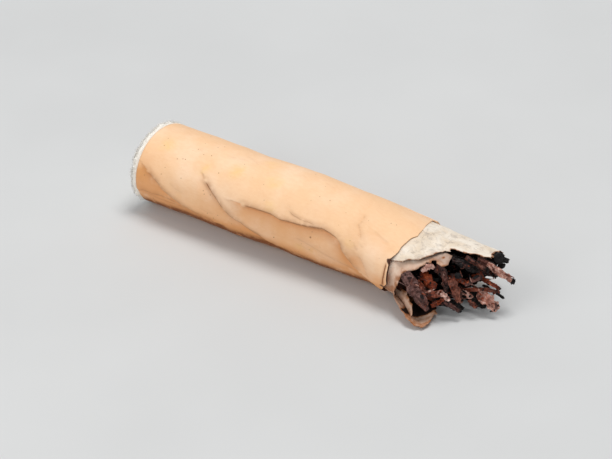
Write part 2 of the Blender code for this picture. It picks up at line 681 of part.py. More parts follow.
# Courses are (mm past the tipping paper, share of the half width, share of the half height).
SHREDS = (
    Shred(
        "leaf_wide_front", (1.3, -0.86, 0.48), (2.35, -0.89, 0.08), (3.65, -0.86, -0.5),
        0.0011, DARK, 0.1, 0.2,
    ),
    Shred(
        "leaf_inner_front", (2.1, -0.71, 0.19), (2.8, -0.72, -0.04), (3.8, -0.67, -0.32),
        0.0006, BROWN, 0.5,
    ),
    Shred(
        "leaf_curl_front", (2.3, -0.64, 0.5), (2.65, -0.56, 0.65), (3.05, -0.49, 0.6),
        0.00055, PINK, -0.4, 0.9,
    ),
    Shred(
        "leaf_centre", (4.45, -0.37, 0.32), (5.05, -0.41, 0.05), (5.65, -0.44, -0.28),
        0.00075, BROWN, 0.2, 0.4,
    ),
    Shred("leaf_rust_bar", (3.9, -0.3, 0.24), (5.0, -0.22, 0.25), (5.75, -0.16, 0.16), 0.0005, RUST, -0.3),
    Shred("leaf_arch", (3.0, -0.44, 0.54), (3.85, -0.37, 0.4), (4.25, -0.44, -0.06), 0.0008, DARK, 0.5, 0.6),
    Shred(
        "leaf_centre_rust", (2.0, -0.5, 0.28), (2.85, -0.57, 0.19), (3.4, -0.56, -0.03),
        0.0009, RUST, 0.1, 0.5,
    ),
    Shred(
        "leaf_cluster", (3.15, -0.7, 0.0), (3.8, -0.66, -0.08), (4.2, -0.52, 0.0),
        0.0006, BROWN, -0.3, 0.7,
    ),
    Shred("leaf_low_front", (3.7, -0.75, -0.4), (4.15, -0.68, -0.3), (4.5, -0.57, -0.2), 0.0005, RUST, 0.3),
    Shred("chip_front", (4.2, -0.61, -0.04), (4.55, -0.6, -0.14), (4.9, -0.56, -0.25), 0.00045, PINK, -0.3),
    Shred(
        "thread_low", (4.5, -0.57, -0.33), (5.15, -0.52, -0.43), (5.9, -0.44, -0.61),
        0.0004, DARK, -0.5, 0.8,
    ),
    Shred(
        "leaf_centre_chip", (5.4, -0.3, 0.0), (5.9, -0.27, -0.08), (6.3, -0.23, -0.17),
        0.00045, PINK, 0.4,
    ),
    Shred("leaf_roof_1", (4.1, -0.22, 0.84), (5.15, -0.12, 0.75), (6.1, -0.02, 0.6), 0.0007, DARK, -0.2),
    Shred("leaf_roof_2", (4.9, -0.05, 0.92), (5.85, 0.01, 0.8), (6.75, 0.07, 0.62), 0.0005, BROWN, 0.3),
    Shred("leaf_roof_3", (5.6, 0.12, 0.88), (6.45, 0.19, 0.76), (7.2, 0.24, 0.6), 0.0006, DARK, 0.1, 0.5),
    Shred(
        "stem_long", (6.4, 0.16, 0.79), (7.55, 0.24, 0.56), (8.4, 0.3, 0.34),
        0.0006, PINK, 0.0, 0.1, 0.1, 0.00034,
    ),
    Shred(
        "stem_tip", (8.42, 0.3, 0.34), (8.55, 0.31, 0.3), (8.72, 0.33, 0.25),
        0.0005, CHAR, 0.0, 0.1, 0.1, 0.0003,
    ),
    Shred(
        "flake_right", (6.4, -0.1, -0.14), (7.45, -0.06, -0.33), (8.25, -0.02, -0.58),
        0.001, PINK, 0.2, 0.3,
    ),
    Shred("leaf_bundle_1", (3.7, -0.17, 0.88), (4.35, -0.11, 0.84), (4.95, -0.03, 0.8), 0.0005, BROWN, 0.4),
    Shred(
        "leaf_bundle_2", (5.5, -0.25, 0.18), (6.0, -0.11, 0.33), (6.4, 0.02, 0.45),
        0.00045, DARK, -0.3, 0.6,
    ),
    Shred("leaf_bundle_3", (5.1, 0.16, 0.1), (7.0, 0.07, 0.23), (7.95, 0.14, 0.05), 0.0004, RUST, 0.2, 0.8),
    Shred(
        "leaf_strand", (4.6, -0.3, -0.14), (6.6, -0.07, 0.04), (8.0, 0.12, -0.04),
        0.00035, BROWN, 0.3, 0.9,
    ),
    Shred("thread_right", (6.6, 0.0, 0.12), (7.7, 0.09, -0.07), (8.35, 0.12, -0.26), 0.0003, CHAR, 0.6),
    Shred("chip_low", (6.0, -0.26, -0.32), (6.4, -0.25, -0.41), (6.75, -0.22, -0.5), 0.00045, BROWN, 0.2),
    Shred("leaf_low_1", (3.6, -0.5, -0.5), (4.7, -0.4, -0.55), (5.6, -0.3, -0.68), 0.0007, DARK, 0.3, 0.6),
    Shred(
        "leaf_low_2", (4.6, -0.12, -0.36), (5.9, -0.06, -0.5), (7.0, 0.02, -0.68),
        0.0007, BROWN, 0.1, 0.7,
    ),
    Shred("leaf_low_3", (3.4, 0.02, -0.5), (5.2, 0.14, -0.56), (6.9, 0.24, -0.7), 0.0007, DARK, 0.3, 0.6),
    Shred(
        "leaf_bundle_4", (5.8, 0.03, 0.39), (6.5, 0.15, 0.4), (7.4, 0.25, 0.27),
        0.00085, DARK, 0.2, 0.5,
    ),
    Shred(
        "leaf_bundle_5", (5.8, 0.14, 0.57), (6.55, 0.22, 0.52), (7.2, 0.27, 0.41),
        0.0007, BROWN, -0.2, 0.5,
    ),
    Shred("leaf_far_1", (1.2, 0.7, 0.2), (3.4, 0.72, 0.24), (5.6, 0.62, 0.1), 0.0008, DARK, 1.1, 0.8),
    Shred("leaf_far_2", (1.1, 0.45, -0.3), (3.6, 0.5, -0.28), (6.0, 0.5, -0.44), 0.0007, BROWN, 0.9, 0.8),
    Shred("leaf_far_3", (1.1, 0.6, -0.05), (4.0, 0.56, 0.06), (6.6, 0.44, 0.0), 0.0006, DARK, 0.4, 0.8),
)


def strip(course, shred, spare, rough):
    """Points and faces of a torn leaf strip: folded along its length, kinked, frayed and twisted.

    Each station has three places across the strip, on both its faces: an edge, the fold, an edge.
    """
    root, middle, tip = (Vector(place) for place in course)
    bend = 2.0 * middle - (root + tip) / 2.0
    shares = [station / (SHRED_STATIONS - 1) for station in range(SHRED_STATIONS)]
    path = [root * (1 - t) ** 2 + bend * (2 * t * (1 - t)) + tip * t**2 for t in shares]
    fold_side = rough.choice((-1.0, 1.0))
    fold_at = rough.uniform(-0.3, 0.3)
    thickness = shred.thickness + spare
    points = []
    for number, place in enumerate(path):
        share = shares[number]
        ahead = path[min(number + 1, len(path) - 1)] - path[max(number - 1, 0)]
        turned = Matrix.Rotation(shred.lean + shred.twist * (share - 0.5), 3, ahead)
        across = (turned @ ahead.cross(MOUTH_FACING)).normalized()
        out = across.cross(ahead).normalized()
        kink = SHRED_KINK * shred.width * math.sin(math.pi * share)
        place = place + out * rough.uniform(-1.0, 1.0) * kink + across * rough.uniform(-1.0, 1.0) * kink
        torn = 1.0 - 0.55 * float(bump(share, 1.0, 0.1)) - 0.35 * float(bump(share, 0.0, 0.1))
        left = shred.width / 2 * torn * rough.uniform(0.72, 1.16) + spare / 2
        right = shred.width / 2 * torn * rough.uniform(0.72, 1.16) + spare / 2
        ridge = fold_side * shred.fold * shred.width * torn * rough.uniform(0.6, 1.2)
        fold = fold_at + rough.uniform(-0.12, 0.12)
        row = ((-left, 0.0, 0.35), (fold * min(left, right), ridge, 0.5), (right, 0.0, 0.35))
        for side, lift, half in row:
            points.append(place + across * side + out * (lift + half * thickness))
        for side, lift, half in reversed(row):
            points.append(place + across * side + out * (lift - half * thickness))
    faces = []
    for station in range(SHRED_STATIONS - 1):
        for side in range(SHRED_SIDES):
            here, there = station * SHRED_SIDES, (station + 1) * SHRED_SIDES
            turn = (side + 1) % SHRED_SIDES
            faces.append((here + side, here + turn, there + turn, there + side))
    last = (SHRED_STATIONS - 1) * SHRED_SIDES
    for low, end in ((0, False), (last, True)):
        for pair in range(2):
            face = (low + pair, low + pair + 1, low + 4 - pair, low + 5 - pair)
            faces.append(face if end else face[::-1])
    return np.array([tuple(point) for point in points]), faces


def clearing_moves():
    """Small moves to try in turn: mostly out of the mouth or into it, then sideways."""
    yield Vector((0.0, 0.0, 0.0))
    sideways = MOUTH_FACING.orthogonal().normalized()
    for step in range(1, CLEARING_STEPS):
        turn = Matrix.Rotation(step * 2.4, 3, MOUTH_FACING)
        depth = (1 if step % 2 else -1) * CLEARING_DEPTH * step**0.75
        yield MOUTH_FACING * depth + turn @ sideways * CLEARING_DRIFT * step


def lay_strip(butt, shred, course, seed):
    """Adds one shred where it is clear of the pieces made so far. False where nothing is free."""
    for move in clearing_moves():
        moved = [Vector(place) + move for place in course]
        lowest = min(place.z for place in moved) - shred.width / 2
        if lowest < 0.0:
            continue
        wider = strip(moved, shred, 2 * SHRED_GAP, random.Random(seed))
        if butt.free_of_others(*wider):
            points, faces = strip(moved, shred, 0.0, random.Random(seed))
            butt.add(shred.name, points, faces, shred.tone.colour, shred.tone.roughness, sharp_angle=30)
            return True
    return False


def build_shreds(butt):
    """The shreds that the torn mouth shows one by one."""
    for number, shred in enumerate(SHREDS):
        places = (shred.root, shred.middle, shred.tip)
        course = [mouth_place(past * MM, across, up) for past, across, up in places]
        lay_strip(butt, shred, course, SEED + number)


def build_fillers(butt):
    """Shorter shreds behind the others, packed from the tobacco's face out to the burnt hollow."""
    chance = random.Random(SEED)
    made = 0
    for _ in range(FILLER_TRIES):
        if made == FILLER_SHREDS:
            break
        angle = chance.uniform(0.0, math.tau)
        spread = math.sqrt(chance.uniform(0.0, FILLER_SPREAD))
        across, up = spread * math.cos(angle), spread * math.sin(angle)
        past = plug_face(across, up) + chance.uniform(0.0001, 0.0012)
        drift = [chance.uniform(-0.16, 0.16) for _ in range(4)]
        hollow = HOLLOW_DEPTH * bump(up + drift[3], 0.4, 0.55) * bump(across + drift[2], 0.05, 0.5)
        length = min(FILLER_LENGTH * chance.uniform(0.6, 1.15), FILLER_REACH - hollow - past)
        lean = chance.uniform(-1.4, 1.4)
        tone = chance.choice((DARK, DARK, BROWN, RUST, BROWN))
        if length < FILLER_SHORTEST:
            continue
        course = [
            mouth_place(past, across, up),
            mouth_place(past + length / 2, across + drift[0], up + drift[1]),
            mouth_place(past + length, across + drift[2], up + drift[3]),
        ]
        shred = Shred(f"leaf_inside_{made + 1}", (), (), (), FILLER_WIDTH, tone, lean, 0.8)
        wider = strip(course, shred, 2 * SHRED_GAP, random.Random(made))
        if butt.free_of_others(*wider):
            made += lay_strip(butt, shred, course, made)


def build_char(butt):
    """Burnt lumps at the tip: stretched, dented grains of ash-black leaf."""
    lumps = (
        ("char_lump_upper", (7.1, 0.33, 0.96), (0.00056, 0.00046, 0.00052)),
        ("char_lump_side", (7.45, 0.36, 0.93), (0.00042, 0.0003, 0.00034)),
        ("char_lump_tip", (7.45, 0.31, 0.76), (0.0004, 0.00026, 0.00028)),
        ("char_crumb_centre", (5.0, -0.3, 0.5), (0.0004, 0.0003, 0.0003)),
        ("char_crumb_low", (5.2, -0.3, -0.42), (0.00045, 0.0003, 0.00028)),
    )
    for number, (name, place, sizes) in enumerate(lumps):
        grain = bmesh.new()
        bmesh.ops.create_icosphere(grain, subdivisions=2, radius=1.0)
        chance = random.Random(SEED + number)
        for vertex in grain.verts:
            vertex.co *= chance.uniform(0.78, 1.1)
        middle = Vector(mouth_place(place[0] * MM, place[1], place[2]))
        tilt = Matrix.Rotation(chance.uniform(-0.6, 0.6), 3, "Y")
        shape = [tilt @ (vertex.co * Vector(sizes)) for vertex in grain.verts]
        faces = [tuple(vertex.index for vertex in face.verts) for face in grain.faces]
        grain.free()
        for move in clearing_moves():
            wider = [middle + move + point * CHAR_CLEARANCE for point in shape]
            if butt.free_of_others(wider, faces):
                points = [middle + move + point for point in shape]
                butt.add(name, points, faces, CHAR.colour, CHAR.roughness, sharp_angle=30)
                break


def main():
    """Builds the butt from the outside in, then stands it on the origin."""
    remove_everything()
    butt = Butt()
    build_tipping_paper(butt)
    build_cigarette_paper(butt)
    build_plug_wrap(butt)
    build_filter_tow(butt)
    build_tobacco_plug(butt)
    build_shreds(butt)
    build_char(butt)
    build_fillers(butt)
    butt.stand_at_origin()


if __name__ == "__main__":
    main()
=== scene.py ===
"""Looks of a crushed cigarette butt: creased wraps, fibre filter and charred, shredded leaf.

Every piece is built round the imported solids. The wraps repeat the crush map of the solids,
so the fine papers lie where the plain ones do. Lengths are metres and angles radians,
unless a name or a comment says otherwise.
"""

import json
import logging
import math
import random
from dataclasses import dataclass, field
from enum import Enum

import bmesh
import bpy
import numpy as np
from mathutils import Matrix, Vector
from mathutils.geometry import delaunay_2d_cdt
from mathutils.kdtree import KDTree

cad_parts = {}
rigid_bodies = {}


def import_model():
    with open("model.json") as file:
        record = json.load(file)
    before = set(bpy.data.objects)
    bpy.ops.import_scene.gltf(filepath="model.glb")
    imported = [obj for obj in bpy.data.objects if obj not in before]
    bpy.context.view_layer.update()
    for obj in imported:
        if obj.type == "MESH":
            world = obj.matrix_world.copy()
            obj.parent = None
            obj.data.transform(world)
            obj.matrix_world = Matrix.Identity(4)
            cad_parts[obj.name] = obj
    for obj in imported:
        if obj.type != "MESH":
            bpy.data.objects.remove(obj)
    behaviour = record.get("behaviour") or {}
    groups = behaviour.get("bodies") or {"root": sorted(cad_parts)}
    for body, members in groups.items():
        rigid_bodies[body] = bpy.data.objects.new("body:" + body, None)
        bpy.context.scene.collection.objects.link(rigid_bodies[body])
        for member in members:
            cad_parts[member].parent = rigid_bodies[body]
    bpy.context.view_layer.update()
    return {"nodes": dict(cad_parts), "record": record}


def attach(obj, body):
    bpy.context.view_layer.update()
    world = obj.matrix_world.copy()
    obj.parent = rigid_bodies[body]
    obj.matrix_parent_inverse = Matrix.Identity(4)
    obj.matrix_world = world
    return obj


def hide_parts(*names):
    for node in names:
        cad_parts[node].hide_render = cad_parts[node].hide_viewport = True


LOG = logging.getLogger("cigarette_butt")
MM = 0.001
BODY = "root"

Array = np.ndarray
Colour = tuple[float, float, float]
PlanLine = tuple[tuple[float, float], ...]


def srgb(red: int, green: int, blue: int) -> Colour:
    """Turns a screen colour into the linear colour that a shader takes.

    Args:
        red: Red from 0 to 255.
        green: Green from 0 to 255.
        blue: Blue from 0 to 255.

    Returns:
        The linear red, green and blue.
    """

    def linear(level: int) -> float:
        """One channel, from screen level to linear light."""
        share = level / 255.0
        return share / 12.92 if share <= 0.04045 else ((share + 0.055) / 1.055) ** 2.4

    return linear(red), linear(green), linear(blue)


def smooth_rise(value: Array, start: float, length: float) -> Array:
    """Rises smoothly from 0 at start to 1 at start + length."""
    share = np.clip((value - start) / length, 0.0, 1.0)
    return share * share * (3.0 - 2.0 * share)


def bell(value: Array, middle: float, reach: float) -> Array:
    """A bell of height 1 at the middle, nearly 0 at twice the reach."""
    return np.exp(-(((value - middle) / reach) ** 2))


@dataclass(frozen=True)
class Waves:
    """Smooth seeded noise: a sum of plane waves in random directions.

    Attributes:
        seed: Seed of the directions and phases.
        size: Size of the lumps.
        count: How many waves are summed.
    """

    seed: int
    size: float
    count: int = 14

    def heights(self, points: Array) -> Array:
        """Noise of about unit height at each point.

        Args:
            points: Places in metres, one row each.

        Returns:
            One height for each place.
        """
        chance = np.random.default_rng(self.seed)
        total = np.zeros(len(points))
        for _ in range(self.count):
            way = chance.normal(size=points.shape[1])
            way *= chance.uniform(0.6, 1.5) / np.linalg.norm(way)
            total += np.sin(points @ way * (math.tau / self.size) + chance.uniform(0.0, math.tau))
        return total * math.sqrt(2.0 / self.count)

    def vectors(self, points: Array) -> Array:
        """A smooth vector of about unit length at each point."""
        parts = [Waves(self.seed + 101 * axis, self.size, self.count).heights(points) for axis in range(3)]
        return np.stack(parts, axis=-1) / math.sqrt(3.0)


@dataclass(frozen=True)
class CrushMap:
    """How the round cigarette was squashed, bent and laid on its flat side.

    Attributes:
        radius: Outer radius of the cigarette as made.
        flat_share: Share of the half height that is left above the flat underside.
        origin: Where the axis at the filter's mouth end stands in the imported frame.
    """

    origin: tuple[float, float]
    radius: float = 0.0039
    flat_share: float = 0.93
    end_spread: float = 0.00025
    end_drop: float = 0.00014
    end_reach: float = 0.006
    torn_spread: float = 0.0009
    torn_drop: float = 0.0014
    crush_start: float = 0.0147
    crush_length: float = 0.023
    side_bend: float = 0.0013
    bend_start: float = 0.006
    bend_length: float = 0.028

    def half_width(self, along: Array) -> Array:
        """Half the butt's width at each place along it."""
        end = self.end_spread * bell(along, 0.0, self.end_reach)
        return self.radius + end + self.torn_spread * smooth_rise(along, self.crush_start, self.crush_length)

    def half_height(self, along: Array) -> Array:
        """Half the butt's height at each place, before its underside was flattened."""
        end = self.end_drop * bell(along, 0.0, self.end_reach)
        return self.radius - end - self.torn_drop * smooth_rise(along, self.crush_start, self.crush_length)

    def spine(self, along: Array) -> tuple[Array, Array]:
        """The middle's shift aside and its height above the ground."""
        aside = self.side_bend * smooth_rise(along, self.bend_start, self.bend_length)
        return aside, self.flat_share * self.half_height(along)

    def place(self, along: Array, angle: Array, radius: Array, relief: Array, sink: Array = 0.0) -> Array:
        """Crushed places of points of the round cigarette.

        Args:
            along: Distance from the filter's mouth end.
            angle: Turn round the axis: 0 far side, quarter turn up, half turn near side.
            radius: Distance from the axis as made.
            relief: How far folds push the point outwards.
            sink: How far a loose underside comes down past its layer.

        Returns:
            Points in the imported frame.
        """
        share = radius / self.radius
        side = share * self.half_width(along) * np.cos(angle)
        up = share * self.half_height(along) * np.sin(angle)
        reach = np.maximum(np.hypot(side, up), MM)
        grow = 1.0 + relief * share**4 / reach
        aside, middle = self.spine(along)
        up = np.maximum(up * grow, -share * middle - sink)
        parts = np.broadcast_arrays(along + self.origin[0], aside + side * grow + self.origin[1], middle + up)
        return np.stack(parts, axis=-1)

    def inner_place(self, along: float, across: float, up: float) -> Vector:
        """A place given by shares of the half width and half height at that length."""
        aside, middle = self.spine(along)
        return Vector(
            (
                along + self.origin[0],
                aside + across * self.half_width(along) + self.origin[1],
                middle + up * self.half_height(along),
            )
        )


def unrolled(line: PlanLine, radius: float) -> Array:
    """Corners of a line in the unrolled wrap, as (metres along, metres of arc)."""
    return np.array([(along * MM, math.radians(turn) * radius) for along, turn in line])


def line_distance(along: Array, arc: Array, corners: Array) -> Array:
    """Distance to a line in the unrolled wrap.

    Args:
        along: Distance along the butt.
        arc: Arc length round it.
        corners: The line's corners in the unrolled wrap.

    Returns:
        The distance of each point, positive on the side nearer the ground.
    """
    nearest = np.full(along.shape, np.inf)
    signed = np.zeros(along.shape)
    for start, end in zip(corners[:-1], corners[1:]):
        run = end - start
        from_x, from_arc = along - start[0], arc - start[1]
        share = np.clip((from_x * run[0] + from_arc * run[1]) / (run @ run), 0.0, 1.0)
        away_x, away_arc = from_x - share * run[0], from_arc - share * run[1]
        distance = np.hypot(away_x, away_arc)
        side = np.sign(run[0] * away_arc - run[1] * away_x)
        closer = distance < nearest
        nearest = np.where(closer, distance, nearest)
        signed = np.where(closer, distance * side, signed)
    return signed


@dataclass(frozen=True)
class Crease:
    """A fold line pressed into the rolled wrap.

    Attributes:
        line: Places on it as (mm along the butt, degrees round it).
        step: How far the lower side is pushed in.
        valley: Depth of the sharp line itself.
        ridge: Height of the rolled edge above it.
        edge: Width of the step.
        ease: How soon the lower side comes back out.
        dirt_and_shade: How strongly the line is darkened, partly as soiling and partly as painted shade, from 0 to 1.
        shade: How strongly painted shade darkens the pushed-in side, from 0 to 1.
    """

    line: PlanLine
    step: float = 0.0
    valley: float = 0.0
    ridge: float = 0.0
    edge: float = 0.00024
    ease: float = 0.0018
    dirt_and_shade: float = 0.5
    shade: float = 0.0

    def ends(self, along: Array, arc: Array, radius: float) -> Array:
        """1 along the line, fading out round both of its ends."""
        first, last = self.line[0], self.line[-1]
        fade = np.ones(along.shape)
        for x, turn in (first, last):
            away = np.hypot(along - x * MM, arc - math.radians(turn) * radius)
            fade = fade * smooth_rise(away, 0.0, 0.0006)
        low, high = min(first[0], last[0]) * MM, max(first[0], last[0]) * MM
        inside = smooth_rise(along, low - self.ease, self.ease)
        return fade * inside * (1.0 - smooth_rise(along, high, self.ease))

    def press(self, along: Array, angle: Array, radius: float) -> tuple[Array, Array, Array]:
        """What the crease does to the wrap.

        Args:
            along: Distance along the butt.
            angle: Turn round it, from 0 to a full turn.
            radius: Radius of the wrap as made.

        Returns:
            The relief, outwards positive, the darkening on the line, partly soiling and partly painted shade, and the
            painted shade beside it.
        """
        arc = angle * radius
        distance = line_distance(along, arc, unrolled(self.line, radius))
        fall = np.exp(-np.clip(distance - self.edge, 0.0, None) / self.ease)
        relief = -self.step * np.clip(distance / self.edge, 0.0, 1.0) * fall
        relief = relief - self.valley * np.exp(-np.abs(distance) / (0.4 * self.edge))
        rolled = np.exp(-np.clip(-distance, 0.0, None) / (2.0 * self.edge)) * (distance < self.edge)
        relief = relief + self.ridge * rolled * (1.0 - np.clip(distance / self.edge, 0.0, 1.0))
        # The dark fold line is partly soiling and partly painted shade, with a wider halo of painted shade; beside it,
        # painted shade darkens the pushed-in side.
        line = np.exp(-(((distance - 0.3 * self.edge) / (0.34 * self.edge)) ** 2))
        grime_and_shade = self.dirt_and_shade * np.maximum(line, 0.4 * np.exp(-((distance / (1.5 * self.edge)) ** 2)))
        fold_shade = self.shade * np.clip(distance / self.edge, 0.0, 1.0) * np.exp(-np.clip(distance, 0.0, None) / 0.0017)
        fade = self.ends(along, arc, radius)
        return relief * fade, grime_and_shade * fade, fold_shade * fade


@dataclass(frozen=True)
class Dent:
    """A shallow hollow, as (mm along, degrees round), with its reach and depth."""

    along: float
    turn: float
    reach: float
    depth: float

    def press(self, along: Array, angle: Array, radius: float) -> Array:
        """Relief of the hollow, inwards negative."""
        off = (angle - math.radians(self.turn)) * radius
        return -self.depth * np.exp(-(((along - self.along * MM) ** 2 + off**2) / self.reach**2))


@dataclass
class WrapRelief:
    """All the folds of the tipping paper and what they do to it.

    Attributes:
        creases: The folds that the wrap shows.
        lip_creases: Fine folds of its unstuck lip, which what lies under it doesn't share.
        dents: Its shallow hollows.
        wrinkles: How many fine wrinkles are strewn over its flattened underside.
        give: How far sideways the layers underneath give way round a fold.
        seed: Seed of the wrinkles.
    """

    creases: tuple[Crease, ...] = (
        Crease(
            (
                (11.9, 158), (13.6, 157), (14.9, 157), (15.8, 160), (16.9, 158), (17.7, 157), (18.8, 154),
                (20.2, 149), (20.8, 150), (21.6, 152), (22.1, 157), (22.4, 166), (22.9, 174), (23.5, 184), (24.2, 191),
            ),  # fmt: skip
            step=0.0004,
            valley=0.00004,
            ridge=0.00013,
            edge=0.00026,
            ease=0.0024,
            dirt_and_shade=0.95,
            shade=0.95,
        ),
        Crease(
            ((7.5, 144), (8.1, 151), (9.1, 162), (10.0, 174), (10.8, 183), (12.2, 194), (13.5, 203), (15.2, 210)),
            step=0.00022,
            valley=0.00008,
            ridge=0.0001,
            edge=0.00025,
            ease=0.0012,
            dirt_and_shade=1.15,
            shade=0.5,
        ),
        Crease(
            ((1.2, 158), (1.9, 164), (2.5, 169), (3.0, 176), (3.7, 182), (4.4, 187), (5.4, 194), (7.0, 199), (8.8, 203)),
            step=0.0003,
            valley=0.00008,
            ridge=0.0001,
            edge=0.00025,
            ease=0.0015,
            dirt_and_shade=1.15,
            shade=0.8,
        ),
        Crease(
            ((22.9, 104), (23.1, 115), (23.0, 124), (23.5, 132), (23.9, 143)),
            step=0.00007,
            valley=0.00004,
            ridge=0.00004,
            edge=0.00018,
            ease=0.0009,
            dirt_and_shade=0.35,
            shade=0.2,
        ),
        Crease(
            ((11.0, 185), (11.8, 187), (12.5, 192), (13.5, 196), (14.4, 206)),
            step=0.00012,
            valley=0.00005,
            ridge=0.00005,
            edge=0.00018,
            ease=0.0008,
            dirt_and_shade=0.8,
            shade=0.3,
        ),
        Crease(((0.8, 196), (2.2, 199), (4.6, 203), (6.9, 206), (8.8, 207)), step=0.00008, valley=0.00003, dirt_and_shade=0.25),
        Crease(
            ((16.4, 144), (17.0, 148), (18.0, 150), (18.6, 149), (19.6, 148)),
            valley=0.00005,
            ridge=0.00005,
            edge=0.00016,
            dirt_and_shade=0.6,
        ),
        Crease(((0.1, 191), (1.5, 192), (2.6, 191), (3.5, 193), (4.6, 197)), step=0.0001, dirt_and_shade=0.5, shade=0.6),
        Crease(((10.1, 184), (10.7, 185), (11.1, 181)), valley=0.00004, edge=0.00014, dirt_and_shade=0.5),
        Crease(((23.9, 160), (24.6, 172), (25.0, 184), (25.4, 197)), step=0.0001, valley=0.00003, dirt_and_shade=0.25, shade=0.3),
        Crease(((24.2, 119), (25.2, 124), (26.4, 127)), step=0.00006, ease=0.0008, dirt_and_shade=0.12, shade=0.2),
        Crease(((17.4, 178), (19.6, 183), (22.0, 190), (24.0, 199)), step=0.00006, valley=0.00002, dirt_and_shade=0.2),
    )
    lip_creases: tuple[Crease, ...] = (
        Crease(
            ((26.72, 149), (26.8, 156), (26.8, 164), (26.8, 172), (26.74, 183), (26.66, 191), (26.8, 196)),
            valley=0.00006,
            ridge=0.00002,
            edge=0.00014,
            ease=0.0004,
            dirt_and_shade=1.45,
        ),
    )
    dents: tuple[Dent, ...] = (
        Dent(24.9, 121, 0.0014, 0.00017),
        Dent(23.8, 176, 0.0012, 0.00024),
        Dent(19.2, 20, 0.0026, 0.0002),
        Dent(10.5, 62, 0.0022, 0.0001),
        Dent(21.9, 140, 0.0008, -0.00006),
    )
    wrinkles: int = 40
    give: float = 0.0006
    seed: int = 5

    def fine_wrinkles(self) -> list[Crease]:
        """Short fine wrinkles, most of them slanting over the flattened underside."""
        chance = random.Random(self.seed)
        made = []
        for number in range(self.wrinkles):
            start = chance.uniform(1.0, 25.0)
            turn = chance.gauss(196.0, 15.0) if number % 3 else chance.uniform(5.0, 130.0)
            run = chance.uniform(0.9, 2.6)
            slant = chance.uniform(-9.0, 16.0)
            middle = (start + run * 0.5, turn + slant * 0.5 + chance.uniform(-3.0, 3.0))
            line = ((start, turn), middle, (start + run, turn + slant))
            depth = chance.uniform(0.008, 0.028) * MM
            made.append(Crease(line, valley=depth, ridge=depth * 0.7, edge=0.00018, dirt_and_shade=chance.uniform(0.0, 0.16)))
        return made

    def shape(self, along: Array, angle: Array, radius: float) -> Array:
        """Relief of the main folds and the dents alone."""
        turn = np.mod(angle, math.tau)
        relief = np.zeros(along.shape)
        for crease in self.creases:
            relief = relief + crease.press(along, turn, radius)[0]
        for dent in self.dents:
            relief = relief + dent.press(along, turn, radius)
        return relief

    def under(self, along: Array, angle: Array, radius: float) -> Array:
        """The lowest relief near a place, which the layers underneath follow."""
        lowest = self.shape(along, angle, radius)
        for shift in (-self.give, 0.0, self.give):
            for turn in (-self.give / radius, 0.0, self.give / radius):
                lowest = np.minimum(lowest, self.shape(along + shift, angle + turn, radius))
        return lowest

    def press(self, along: Array, angle: Array, radius: float) -> tuple[Array, Array, Array]:
        """Relief, line darkening and painted shade of all the folds together.

        Args:
            along: Distance along the butt.
            angle: Turn round it, which may pass a full turn.
            radius: Radius of the wrap as made.

        Returns:
            The relief, the line darkening, partly soiling and partly painted shade, and the painted shade beside the
            folds, for each point.
        """
        turn = np.mod(angle, math.tau)
        relief = self.shape(along, angle, radius)
        grime_and_shade = np.zeros(along.shape)
        fold_shade = np.zeros(along.shape)
        for crease in self.creases:
            _, mark, shade_beside = crease.press(along, turn, radius)
            grime_and_shade = np.maximum(grime_and_shade, mark)
            fold_shade = np.maximum(fold_shade, shade_beside)
        for crease in [*self.lip_creases, *self.fine_wrinkles()]:
            push, mark, _ = crease.press(along, turn, radius)
            relief = relief + push
            grime_and_shade = np.maximum(grime_and_shade, mark)
        return relief, grime_and_shade, fold_shade


